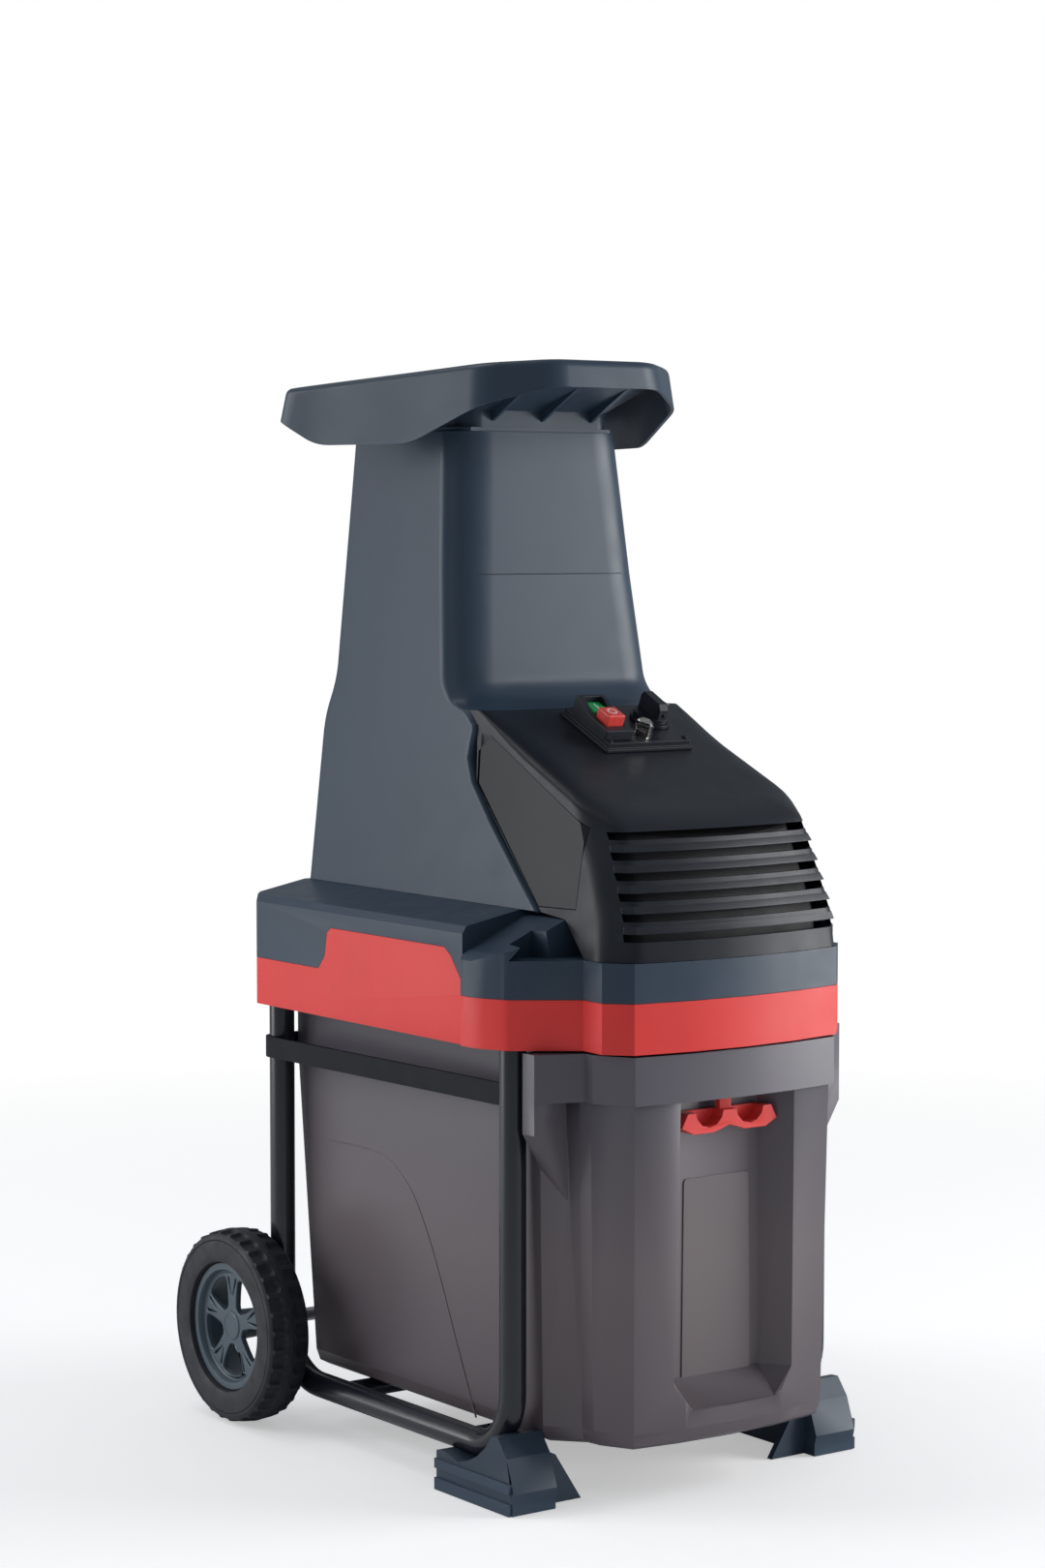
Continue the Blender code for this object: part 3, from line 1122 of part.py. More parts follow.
def make_collecting_box():
    body = box_body("body", 0.0, BOX_BOTTOM, BOX_RIM_BOTTOM + 0.002)
    cut(body, recess("recess", 0.0))
    join(body, prism("rim", rim_plan(), BOX_RIM_BOTTOM, BOX_RIM_TOP))
    for side in (-1, 1):
        root = BOX_STEP[0] - 0.003
        wing = [(WING_OUTER_X, BOX_RIM_BOTTOM + 0.001), (WING_OUTER_X, BOX_RIM_BOTTOM - 0.026),
                (root + 0.011, WING_BOTTOM), (root, WING_BOTTOM), (root, BOX_RIM_BOTTOM + 0.001)]
        wing = [(side * x, z) for x, z in wing]
        join(body, prism("wing", wing, BOX_SHOULDER_Y - WING_THICKNESS, BOX_SHOULDER_Y, "Y"))
    room = box_body("room", BOX_WALL, BOX_BOTTOM + BOX_WALL, BOX_RIM_BOTTOM + 0.002)
    join(room, prism("head", inset(box_plan(BOX_WALL), 0.0), BOX_RIM_BOTTOM + 0.0015, BOX_RIM_TOP + 0.02))
    cut(room, recess("web", BOX_WALL))
    cut(body, room)
    slot = TONGUE_HALF_WIDTH + SLIDE_GAP
    cut(body, block("slot", (-slot, TONGUE_FRONT_Y - SLIDE_GAP, BOX_RIM_BOTTOM - 0.01),
                    (slot, TONGUE_REAR_Y + SLIDE_GAP, BOX_RIM_BOTTOM + 0.012)))
    finish(body, "collecting_box", SMOKE)


def make_box_latch():
    """Red slide with two finger scoops, hung by its tongue in the box's front web."""
    half = LATCH_WIDTH / 2
    front, back = LATCH_FRONT_Y, RECESS_BACK_Y - FIT
    wave = [(-half, LATCH_BOTTOM + 0.006), (-half + 0.012, LATCH_BOTTOM), (-0.016, LATCH_BOTTOM),
            (0.0, LATCH_BOTTOM + 0.005), (0.016, LATCH_BOTTOM), (half - 0.012, LATCH_BOTTOM),
            (half, LATCH_BOTTOM + 0.006)]
    grip_top = BOX_RIM_BOTTOM - LATCH_TRAVEL - SLIDE_GAP
    latch = prism("latch", wave + [(half - 0.006, grip_top), (-half + 0.006, grip_top)], front, back, "Y")
    floor_half, mouth_half = RECESS_FLOOR_HALF - 0.0005, RECESS_FLOOR_HALF + 0.012
    narrow = [(-floor_half, back), (floor_half, back), (mouth_half, front), (-mouth_half, front)]
    keep_inside(latch, prism("sides", inset(narrow, SLIDE_GAP), WING_BOTTOM, BOX_RIM_TOP))
    for side in (-1, 1):
        middle = side * (SCOOP_RADIUS + 0.0065)
        scoop = circle(middle, grip_top - SCOOP_DEPTH + SCOOP_RADIUS, SCOOP_RADIUS, 7, pi, pi)
        scoop += [(middle + SCOOP_RADIUS, grip_top + 0.01), (middle - SCOOP_RADIUS, grip_top + 0.01)]
        cut(latch, prism("scoop", scoop, front - 0.01, back - 0.004, "Y"))
    tongue = TONGUE_HALF_WIDTH
    join(latch, block("tongue", (-tongue, TONGUE_FRONT_Y, grip_top - 0.006),
                      (tongue, TONGUE_REAR_Y, BOX_RIM_TOP - 0.003)))
    finish(latch, "box_latch", BAND_RED, (0, (TONGUE_FRONT_Y + TONGUE_REAR_Y) / 2, LATCH_BOTTOM))


# Gear train


def gear_outline(centre, teeth, module, tooth_at):
    """Trapezoid teeth, slim enough to run with backlash, as points round a centre."""
    pitch_radius = module * teeth / 2
    tip = pitch_radius + 0.8 * module
    root = pitch_radius - 1.1 * module
    pitch = 2 * pi / teeth
    outline = []
    for i in range(teeth):
        middle = tooth_at + i * pitch
        for r, share in ((root, -0.32), (tip, -0.11), (tip, 0.11), (root, 0.32)):
            t = middle + share * pitch
            outline.append((centre[0] + r * cos(t), centre[1] + r * sin(t)))
    return outline


def step_from(centre, module, angle):
    """Centre of the gear that meshes with one at a known centre, in a given direction."""
    distance = module * (PINION_TEETH + WHEEL_TEETH) / 2
    return (centre[0] + distance * cos(angle), centre[1] + distance * sin(angle))


ROLLER_AXIS = (ROLLER_X, ROLLER_HEIGHT)
SECOND_AXIS = step_from(ROLLER_AXIS, MODULE_THIRD, ANGLE_THIRD)
FIRST_AXIS = step_from(SECOND_AXIS, MODULE_SECOND, ANGLE_SECOND)
MOTOR_AXIS = step_from(FIRST_AXIS, MODULE_FIRST, ANGLE_FIRST)


def hull(points):
    """Convex outline round a set of points."""
    ordered = sorted(set(points))
    sides = []
    for run in (ordered, list(reversed(ordered))):
        chain = []
        for p in run:
            while len(chain) > 1:
                (ax, ay), (bx, by) = chain[-2], chain[-1]
                if (bx - ax) * (p[1] - ay) - (by - ay) * (p[0] - ax) > 0:
                    break
                chain.pop()
            chain.append(p)
        sides += chain[:-1]
    return sides


def gearbox_outline(extra):
    """Outline of the gearbox round its three wheels."""
    wheels = ((ROLLER_AXIS, MODULE_THIRD), (SECOND_AXIS, MODULE_SECOND), (FIRST_AXIS, MODULE_FIRST),
              (MOTOR_AXIS, MODULE_FIRST * 0.6))
    points = []
    for (x, z), module in wheels:
        radius = module * (WHEEL_TEETH + 2) / 2 + GEAR_ROOM + extra
        points += circle(x, z, radius, 12)
    return hull(points)


def make_gearbox():
    low = DECK_TOP + FIT
    base = block("base", (-0.060, COVER_BACK_Y + 0.010, low), (0.070, GEARBOX_REAR_Y, ROLLER_HEIGHT - 0.04))
    case = prism("case", gearbox_outline(GEARBOX_WALL), COVER_BACK_Y + FIT, GEARBOX_REAR_Y, "Y")
    join(case, base)
    cut(case, prism("room", gearbox_outline(0.0), GEARBOX_FRONT_Y, GEARBOX_REAR_Y - GEARBOX_WALL, "Y"))
    holes = [rod("shaft", "Y", ROLLER_AXIS, ROLLER_SHAFT_RADIUS + SLIDE_GAP, -0.03, 0.03)]
    for axis in (FIRST_AXIS, SECOND_AXIS):
        holes.append(rod("seat", "Y", axis, PIN_RADIUS + FIT, -0.06, GEARBOX_REAR_Y - 0.0015, 16))
    cut(case, *holes)
    finish(case, "gearbox_case", ALUMINIUM)
    cover = prism("cover", gearbox_outline(GEARBOX_WALL), GEARBOX_FRONT_Y, COVER_BACK_Y, "Y")
    holes = [rod("motor", "Y", MOTOR_AXIS, MOTOR_DOOR_RADIUS, -0.1, 0.0)]
    for axis in (FIRST_AXIS, SECOND_AXIS):
        holes.append(rod("seat", "Y", axis, PIN_RADIUS + FIT, GEARBOX_FRONT_Y + 0.0015, 0.0, 16))
    cut(cover, *holes)
    finish(cover, "gearbox_cover", ALUMINIUM)


def compound_gear(name, axis, wheel_module, wheel_at, wheel_plane, pinion_module, pinion_at, pinion_plane):
    """A wheel and a pinion on one pin, which runs from the cover's seat to the case's."""
    pin = rod("pin", "Y", axis, PIN_RADIUS, GEARBOX_FRONT_Y + 0.0015 + SLIDE_GAP,
              GEARBOX_REAR_Y - 0.0015 - SLIDE_GAP, 16)
    wheel = prism("wheel", gear_outline(axis, WHEEL_TEETH, wheel_module, wheel_at), *wheel_plane, "Y")
    pinion = prism("pinion", gear_outline(axis, PINION_TEETH, pinion_module, pinion_at), *pinion_plane, "Y")
    join(pin, wheel, pinion)
    finish(pin, name, STEEL, (axis[0], sum(wheel_plane) / 2, axis[1]))


def make_gears():
    back = pi
    compound_gear("gear_shaft_second", SECOND_AXIS, MODULE_SECOND, ANGLE_SECOND, SECOND_PLANE,
                  MODULE_THIRD, ANGLE_THIRD + back + HALF_PITCH, (SECOND_PLANE[1] - 0.001, THIRD_PLANE[1]))
    compound_gear("gear_shaft_first", FIRST_AXIS, MODULE_FIRST, ANGLE_FIRST, FIRST_PLANE,
                  MODULE_SECOND, ANGLE_SECOND + back + HALF_PITCH, (FIRST_PLANE[1] - 0.001, SECOND_PLANE[1]))
    gear = prism("gear", gear_outline(ROLLER_AXIS, WHEEL_TEETH, MODULE_THIRD, ANGLE_THIRD), *THIRD_PLANE, "Y")
    cut(gear, rod("bore", "Y", ROLLER_AXIS, ROLLER_SHAFT_RADIUS + FIT, -0.1, 0.1))
    finish(gear, "roller_gear", STEEL, (ROLLER_X, sum(THIRD_PLANE) / 2, ROLLER_HEIGHT))


# Cutting works


def make_cutting_chamber():
    low = DECK_TOP + FIT
    chamber = block("chamber", (CHAMBER_LEFT_X, CHAMBER_FRONT_Y, low),
                    (CHAMBER_RIGHT_X, CHAMBER_REAR_Y, CHAMBER_TOP))
    room = block("room", (CHAMBER_LEFT_X + CHAMBER_SIDE_WALL, CHAMBER_FRONT_Y + CHAMBER_WALL, low - 0.01),
                 (CHAMBER_RIGHT_X - CHAMBER_SIDE_WALL, CHAMBER_REAR_Y - CHAMBER_WALL, CHAMBER_TOP + 0.01))
    bores = rod("bores", "Y", ROLLER_AXIS, BEARING_RADIUS + 2 * FIT, -0.1, 0.3, 16)
    screw = rod("screw", "X", (SPINDLE_Y, ROLLER_HEIGHT), SPINDLE_RADIUS + SPINDLE_RUNNING_GAP, 0.03, 0.1)
    cut(chamber, room, bores, screw)
    finish(chamber, "cutting_chamber", ALUMINIUM)


def make_bearings():
    inner = ROLLER_SHAFT_RADIUS + SPINDLE_RUNNING_GAP
    spots = (("front", CHAMBER_FRONT_Y), ("rear", CHAMBER_REAR_Y - CHAMBER_WALL))
    for word, start in spots:
        end = start + CHAMBER_WALL
        ring = turned("ring", "Y", ROLLER_AXIS, [(inner, start), (BEARING_RADIUS, start),
                                                 (BEARING_RADIUS, end), (inner, end)], 16)
        finish(ring, "roller_bearing_" + word, STEEL)


def make_cutting_roller():
    """Crushing roller: raked teeth along its length, parted by ring grooves."""
    ring_count = 3
    depth = 0.009
    gap = 0.003
    start = ROLLER_FRONT_Y + ROLLER_CLEARANCE
    end = ROLLER_FRONT_Y + ROLLER_LENGTH - ROLLER_CLEARANCE
    raked = []
    plain = []
    for i in range(ROLLER_TEETH):
        for share, lift in ((0.0, 0.0), (0.08, depth), (0.20, depth)):
            a = 2 * pi * (i + share) / ROLLER_TEETH
            raked.append((ROLLER_RADIUS - depth + lift, a))
            plain.append((ROLLER_RADIUS - depth - 0.002, a))
    loops = []
    pitch = (end - start) / ring_count
    for i in range(ring_count):
        low = start + i * pitch + (gap / 2 if i > 0 else 0.0)
        high = start + (i + 1) * pitch - (gap / 2 if i < ring_count - 1 else 0.0)
        rows = [(raked, low), (raked, high)]
        if i > 0:
            rows.insert(0, (plain, low))
        if i < ring_count - 1:
            rows.append((plain, high))
        for outline, s in rows:
            points = [(ROLLER_X + r * cos(a), ROLLER_HEIGHT + r * sin(a)) for r, a in outline]
            loops.append([at("Y", s, x, z) for x, z in points])
    roller = loft("roller", loops)
    join(roller, rod("shaft", "Y", ROLLER_AXIS, ROLLER_SHAFT_RADIUS, THIRD_PLANE[0] - 0.001,
                     CHAMBER_REAR_Y - 0.001, 20))
    finish(roller, "cutting_roller", STEEL, (ROLLER_X, (start + end) / 2, ROLLER_HEIGHT))


def make_pressure_plate():
    """Counter plate beside the roller, with a boss that runs on the adjusting spindle."""
    face = ROLLER_X + ROLLER_RADIUS + PLATE_GAP
    back = face + PRESSURE_PLATE_THICKNESS
    low = ROLLER_HEIGHT - 0.040
    high = ROLLER_HEIGHT + 0.036
    outline = [(face, low + 0.010), (face + 0.005, low), (back, low), (back, high), (face + 0.006, high),
               (face, ROLLER_HEIGHT + 0.012)]
    plate = prism("plate", outline, ROLLER_FRONT_Y - FIT, ROLLER_FRONT_Y + ROLLER_LENGTH + FIT, "Y")
    spot = (SPINDLE_Y, ROLLER_HEIGHT)
    join(plate, rod("boss", "X", spot, 0.010, back - 0.002, back + 0.005, 20))
    cut(plate, rod("bore", "X", spot, SPINDLE_RADIUS + SPINDLE_RUNNING_GAP, face + 0.002, back + 0.02, 20))
    finish(plate, "pressure_plate", STEEL, (face, SPINDLE_Y, ROLLER_HEIGHT))


def make_adjuster():
    spot = (SPINDLE_Y, ROLLER_HEIGHT)
    face = ROLLER_X + ROLLER_RADIUS + PLATE_GAP
    tip = face + 0.002 + 0.0046
    outside = tower_half(ROLLER_HEIGHT - KNOB_RADIUS) + SLIDE_GAP
    spindle = rod("spindle", "X", spot, SPINDLE_RADIUS, tip, outside + 0.010)
    join(spindle, rod("collar", "X", spot, 0.009, CHAMBER_RIGHT_X + FIT, CHAMBER_RIGHT_X + 0.006))
    finish(spindle, "adjuster_spindle", STEEL, (tip, SPINDLE_Y, ROLLER_HEIGHT))
    sides = 24
    grip = []
    for i in range(sides):
        r = KNOB_RADIUS - (0.0022 if i % 3 == 0 else 0.0)
        t = 2 * pi * i / sides
        grip.append((SPINDLE_Y + r * cos(t), ROLLER_HEIGHT + r * sin(t)))
    knob = prism("knob", grip, outside, outside + KNOB_LENGTH, "X")
    cut(knob, rod("bore", "X", spot, SPINDLE_RADIUS + FIT, outside - 0.01, outside + 0.010 + FIT))
    finish(knob, "adjuster_knob", HOUSING_GREY, (outside, SPINDLE_Y, ROLLER_HEIGHT))


def make_feed_chute():
    """Rectangular duct from the hopper's neck to the chamber."""
    wall = 0.0025
    top, low = NECK_BOTTOM - FIT, CHAMBER_TOP + FIT
    wide = NECK_HALF_WIDTH - 0.005
    high_box = (-wide, NECK_FRONT_Y + 0.006, wide, NECK_REAR_Y - 0.004)
    low_box = (CHAMBER_LEFT_X + 0.002, CHAMBER_FRONT_Y + 0.002,
               CHAMBER_RIGHT_X - 0.002, CHAMBER_REAR_Y - 0.002)

    def ring(box, z, shrink):
        x0, y0, x1, y1 = box[0] + shrink, box[1] + shrink, box[2] - shrink, box[3] - shrink
        return [(x0, y0, z), (x1, y0, z), (x1, y1, z), (x0, y1, z)]

    low_wall = wall + 0.006
    duct = loft("duct", [ring(low_box, low, 0), ring(high_box, top, 0)])
    cut(duct, loft("bore", [ring(low_box, low - 0.001, low_wall), ring(high_box, top + 0.001, wall)]))
    finish(duct, "feed_chute", HOUSING_GREY)


# Motor


def make_motor():
    low = DECK_TOP + FIT
    can = rod("can", "Y", MOTOR_AXIS, MOTOR_RADIUS, MOTOR_FRONT_Y, MOTOR_REAR_Y, MOTOR_SIDES)
    foot = block("foot", (MOTOR_AXIS[0] - 0.028, MOTOR_FRONT_Y + 0.015, low),
                 (MOTOR_AXIS[0] + 0.028, MOTOR_REAR_Y - 0.015, MOTOR_AXIS[1] - MOTOR_RADIUS * 0.8))
    join(can, foot)
    room = rod("room", "Y", MOTOR_AXIS, MOTOR_RADIUS - MOTOR_WALL, MOTOR_FRONT_Y + MOTOR_WALL,
               MOTOR_REAR_Y - MOTOR_WALL, MOTOR_SIDES)
    bore = rod("bore", "Y", MOTOR_AXIS, MOTOR_SHAFT_RADIUS + SLIDE_GAP, -0.3, MOTOR_REAR_Y - 0.01)
    door = rod("door", "Y", MOTOR_AXIS, MOTOR_DOOR_RADIUS, MOTOR_REAR_Y - 0.02, 0.0)
    cut(can, room, bore, door)
    finish(can, "motor_can", ALUMINIUM)
    outer = (MOTOR_RADIUS - MOTOR_WALL) * cos(pi / MOTOR_SIDES) - FIT
    start, end = MOTOR_FRONT_Y + 0.022, MOTOR_REAR_Y - 0.022
    stator = turned("stator", "Y", MOTOR_AXIS, [(0.0285, start), (outer, start), (outer, end), (0.0285, end)],
                    MOTOR_SIDES)
    finish(stator, "motor_stator", COPPER_IRON)
    rotor = rod("rotor", "Y", MOTOR_AXIS, 0.0275, start, end, 16)
    shaft = rod("shaft", "Y", MOTOR_AXIS, MOTOR_SHAFT_RADIUS, MOTOR_FRONT_Y - 0.016, FIRST_PLANE[0], 12)
    outline = gear_outline(MOTOR_AXIS, PINION_TEETH, MODULE_FIRST, ANGLE_FIRST + pi + HALF_PITCH)
    join(rotor, shaft, prism("pinion", outline, FIRST_PLANE[0] - 0.006, FIRST_PLANE[1], "Y"))
    finish(rotor, "motor_rotor", STEEL, (MOTOR_AXIS[0], (start + end) / 2, MOTOR_AXIS[1]))


def make_cooling_fan():
    start, end = MOTOR_FRONT_Y - 0.014, MOTOR_FRONT_Y - 0.002
    fan = rod("fan", "Y", MOTOR_AXIS, 0.011, start, end, 12)
    disc = rod("disc", "Y", MOTOR_AXIS, FAN_RADIUS, start + 0.008, start + 0.0095, 16)
    blades = []
    for i in range(FAN_BLADES):
        blade = block("blade", (0.009, start, -0.001), (FAN_RADIUS - 0.001, end - 0.003, 0.001))
        spin = Matrix.Rotation(2 * pi * i / FAN_BLADES, 4, "Y")
        blade.data.transform(Matrix.Translation((MOTOR_AXIS[0], 0, MOTOR_AXIS[1])) @ spin)
        blades.append(blade)
    join(fan, disc, *blades)
    cut(fan, rod("bore", "Y", MOTOR_AXIS, MOTOR_SHAFT_RADIUS + FIT, -0.3, 0.0, 12))
    finish(fan, "cooling_fan", HOOD_BLACK, (MOTOR_AXIS[0], start, MOTOR_AXIS[1]))


def make_capacitor():
    spot = (CAPACITOR_X, DECK_TOP + FIT + CAPACITOR_RADIUS)
    can = rod("can", "Y", spot, CAPACITOR_RADIUS, CAPACITOR_FRONT_Y,
              CAPACITOR_FRONT_Y + CAPACITOR_LENGTH, 24)
    finish(can, "motor_capacitor", ALUMINIUM)


def make_power_inlet():
    """Recessed appliance inlet in the hidden side moulding."""
    outside = tower_half(INLET_HEIGHT - 0.022) + FIT
    spot = (INLET_Y, INLET_HEIGHT)
    inlet = block("inlet", (outside, INLET_Y - 0.022, INLET_HEIGHT - 0.022),
                  (outside + 0.004, INLET_Y + 0.022, INLET_HEIGHT + 0.022))
    join(inlet, rod("shell", "X", spot, INLET_RADIUS, outside - 0.024, outside + 0.016, 16))
    cut(inlet, rod("mouth", "X", spot, INLET_RADIUS - 0.002, outside - 0.018, outside + 0.03, 16))
    for a, b in circle(INLET_Y, INLET_HEIGHT, 0.0075, 3, pi / 2):
        join(inlet, rod("pin", "X", (a, b), 0.002, outside - 0.020, outside + 0.004, 6))
    finish(inlet, "power_inlet", HOOD_BLACK)


def make_interlock():
    """Switch above the latch's tongue, which proves that the box is in place."""
    base = BOX_RIM_TOP + LATCH_TRAVEL
    front, rear = TONGUE_FRONT_Y - 0.006, TONGUE_REAR_Y + 0.006
    body = block("body", (-0.014, front, base + 0.004), (0.014, rear, BLOCK_TOP - 0.006 - FIT))
    join(body, block("feeler", (-0.003, TONGUE_FRONT_Y, base - 0.002), (0.003, TONGUE_REAR_Y, base + 0.006)))
    finish(body, "box_interlock", HOOD_BLACK)


def stand_on_origin():
    """Centre the machine's bounding box over the origin, with its lowest point on the ground."""
    bpy.context.view_layer.update()
    pieces = [piece for piece in bpy.data.objects if piece.type == "MESH"]
    corners = [piece.matrix_world @ vertex.co for piece in pieces for vertex in piece.data.vertices]
    shift = []
    for axis in (0, 1):
        values = [corner[axis] for corner in corners]
        shift.append(-(min(values) + max(values)) / 2)
    shift.append(-min(corner.z for corner in corners))
    for piece in pieces:
        piece.matrix_world = Matrix.Translation(shift) @ piece.matrix_world
    print("moved to the origin by", [round(value, 6) for value in shift])


make_frame_tubes()
make_cross_bars()
make_strap()
make_feet()
for side, word in ((-1, "left"), (1, "right")):
    make_tyre(side, word)
    make_rim(side, word)
make_axle()
make_red_band()
make_base_deck()
make_tower()
make_hood()
make_windows()
make_control_plate()
make_switch_housing()
make_push_button("start_button", START_ALONG, PLATE_HEIGHT + 0.0125, BUTTON_GREEN)
make_push_button("stop_button", STOP_ALONG, PLATE_HEIGHT + 0.0185, BUTTON_RED)
make_selector()
make_reset()
make_hopper()
make_collecting_box()
make_box_latch()
make_gearbox()
make_gears()
make_cutting_chamber()
make_bearings()
make_cutting_roller()
make_pressure_plate()
make_adjuster()
make_feed_chute()
make_motor()
make_cooling_fan()
make_capacitor()
make_power_inlet()
make_interlock()
stand_on_origin()
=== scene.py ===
# Looks of the garden shredder: finishes, soft mouldings, wheels and small details.
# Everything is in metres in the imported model's own frame: +Z up, the fed side towards -Y.
import json
from math import atan2, cos, pi, radians, sin, sqrt

import bmesh
import bpy
from mathutils import Matrix, Vector


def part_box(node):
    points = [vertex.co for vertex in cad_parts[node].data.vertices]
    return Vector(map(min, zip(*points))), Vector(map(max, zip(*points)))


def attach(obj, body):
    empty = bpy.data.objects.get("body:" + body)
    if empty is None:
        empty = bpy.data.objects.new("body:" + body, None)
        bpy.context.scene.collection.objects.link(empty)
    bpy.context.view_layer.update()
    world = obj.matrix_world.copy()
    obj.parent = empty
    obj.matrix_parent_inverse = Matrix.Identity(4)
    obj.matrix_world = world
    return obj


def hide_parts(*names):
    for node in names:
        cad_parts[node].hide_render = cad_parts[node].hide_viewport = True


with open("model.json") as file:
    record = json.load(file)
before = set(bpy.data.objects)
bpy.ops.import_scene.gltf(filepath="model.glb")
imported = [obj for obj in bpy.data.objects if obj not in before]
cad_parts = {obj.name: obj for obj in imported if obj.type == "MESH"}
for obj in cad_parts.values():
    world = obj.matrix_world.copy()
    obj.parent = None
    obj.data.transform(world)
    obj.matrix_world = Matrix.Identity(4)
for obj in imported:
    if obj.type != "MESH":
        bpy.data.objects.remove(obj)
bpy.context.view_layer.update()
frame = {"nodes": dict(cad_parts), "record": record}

# Camera, found by fitting the photograph
PHOTO_HEIGHT = 1620
FOCAL_PIXELS = 3653
SENSOR_MM = 36
CAMERA_PLACE = (-1.8016, -2.4554, 0.7827)
CAMERA_TURN = 35.93
CAMERA_DIP = 4.037
SIDES = ((-1, "left"), (1, "right"))


# Node helpers for materials


class Paint:
    """A material with one Principled shader and short calls for the nodes that feed it."""

    def __init__(self, name):
        self.material = bpy.data.materials.new(name)
        self.material.use_nodes = True
        self.tree = self.material.node_tree
        self.shader = self.tree.nodes["Principled BSDF"]
        self.output = self.tree.nodes["Material Output"]
        self.place = self.add("ShaderNodeTexCoord").outputs["Object"]

    def add(self, kind, **settings):
        node = self.tree.nodes.new(kind)
        for key, value in settings.items():
            setattr(node, key, value)
        return node

    def link(self, source, target):
        self.tree.links.new(source, target)

    def stretched(self, scale):
        """Object coordinates stretched by a factor along each axis."""
        mapping = self.add("ShaderNodeMapping")
        self.link(self.place, mapping.inputs["Vector"])
        mapping.inputs["Scale"].default_value = scale
        return mapping.outputs["Vector"]

    def noise(self, scale, detail=3.0, vector=None):
        node = self.add("ShaderNodeTexNoise")
        self.link(vector or self.place, node.inputs["Vector"])
        node.inputs["Scale"].default_value = scale
        node.inputs["Detail"].default_value = detail
        return node.outputs["Fac"]

    def ranged(self, value, low, high, start=0.3, end=0.7):
        node = self.add("ShaderNodeMapRange")
        self.link(value, node.inputs["Value"])
        node.inputs["From Min"].default_value = start
        node.inputs["From Max"].default_value = end
        node.inputs["To Min"].default_value = low
        node.inputs["To Max"].default_value = high
        return node.outputs["Result"]

    def blend(self, factor, dark, light):
        """Colour that runs between two colours or sockets with a factor."""
        node = self.add("ShaderNodeMix", data_type="RGBA")
        self.link(factor, node.inputs["Factor"])
        for value, socket in ((dark, node.inputs["A"]), (light, node.inputs["B"])):
            if isinstance(value, tuple):
                socket.default_value = (*value, 1.0)
            else:
                self.link(value, socket)
        return node.outputs["Result"]

    def bump(self, height, distance, strength, under=None):
        node = self.add("ShaderNodeBump")
        self.link(height, node.inputs["Height"])
        node.inputs["Distance"].default_value = distance
        node.inputs["Strength"].default_value = strength
        if under:
            self.link(under, node.inputs["Normal"])
        return node.outputs["Normal"]

    def glow(self, strength):
        node = self.add("ShaderNodeEmission")
        node.inputs["Strength"].default_value = strength
        return node.outputs[0]

    def mixed(self, factor, first, second):
        """Shader that runs between two shaders with a factor."""
        node = self.add("ShaderNodeMixShader")
        for source, socket in ((factor, "Fac"), (first, 1), (second, 2)):
            self.link(source, node.inputs[socket])
        return node.outputs[0]

    def set(self, socket, value):
        if isinstance(value, bpy.types.NodeSocket):
            self.link(value, self.shader.inputs[socket])
        else:
            self.shader.inputs[socket].default_value = value


def scaled(colour, factor):
    return tuple(min(1.0, channel * factor) for channel in colour)


GRAIN_SCALE = 1500.0
CLOUD_SPREAD = 0.06
WEAR = (0.53, 0.62)
# Heights where the painted shade at the bottom and at the top fades into the lighter middle
PAINTED_SHADE_LOW_FADE = (0.05, 0.19)
PAINTED_SHADE_HIGH_FADE = (0.20, 0.34)


def moulded_plastic(name, colour, roughness, grain=0.00005, edge=0.5, shine=0.5):
    """Injection moulded plastic: fine spark-eroded grain, faint flow clouds and paler worn edges."""
    paint = Paint(name)
    clouds = paint.ranged(paint.noise(7.0, 4.0), 0.0, 1.0)
    flow = paint.ranged(paint.noise(22.0, 3.0, paint.stretched((1.0, 1.0, 0.22))), 0.0, 1.0)
    base = paint.blend(clouds, scaled(colour, 1 - CLOUD_SPREAD), scaled(colour, 1 + CLOUD_SPREAD))
    streaked = paint.blend(flow, base, scaled(colour, 1 + CLOUD_SPREAD / 2))
    corners = paint.add("ShaderNodeNewGeometry").outputs["Pointiness"]
    worn = paint.ranged(corners, 0.0, edge, *WEAR)
    paint.set("Base Color", paint.blend(worn, streaked, scaled(colour, 1.9)))
    paint.set("Roughness", paint.ranged(paint.noise(35.0, 4.0), roughness - 0.04, roughness + 0.05))
    paint.set("Specular IOR Level", shine)
    waves = paint.bump(paint.noise(18.0, 2.0), 0.0006, 0.10)
    paint.set("Normal", paint.bump(paint.noise(GRAIN_SCALE, 2.0), grain, 0.55, waves))
    return paint.material


def smoky_plastic_with_painted_shading(name, low, middle, high, roughness, shine=0.5):
    """Smoke-tinted moulding with painted light and shade by height: darker at the bottom and the top, lighter
    in the middle, with faint flow marks and grain.
    """
    paint = Paint(name)
    split = paint.add("ShaderNodeSeparateXYZ")
    paint.link(paint.place, split.inputs[0])
    height = split.outputs["Z"]
    # Painted light and shade: the colour runs from a darker bottom to a lighter middle and a darker top
    lower = paint.blend(paint.ranged(height, 0.0, 1.0, *PAINTED_SHADE_LOW_FADE), low, middle)
    tint = paint.blend(paint.ranged(height, 0.0, 1.0, *PAINTED_SHADE_HIGH_FADE), lower, high)
    drag = paint.ranged(paint.noise(26.0, 1.0, paint.stretched((1.0, 1.0, 0.08))), 0.0, 0.25, 0.0, 1.0)
    paint.set("Base Color", paint.blend(drag, tint, scaled(middle, 1.15)))
    gloss = paint.ranged(paint.noise(24.0, 1.0), roughness - 0.02, roughness + 0.03, 0.0, 1.0)
    paint.set("Roughness", gloss)
    paint.set("Specular IOR Level", shine)
    paint.set("Normal", paint.bump(paint.noise(700.0, 2.0), 0.00004, 0.25))
    return paint.material


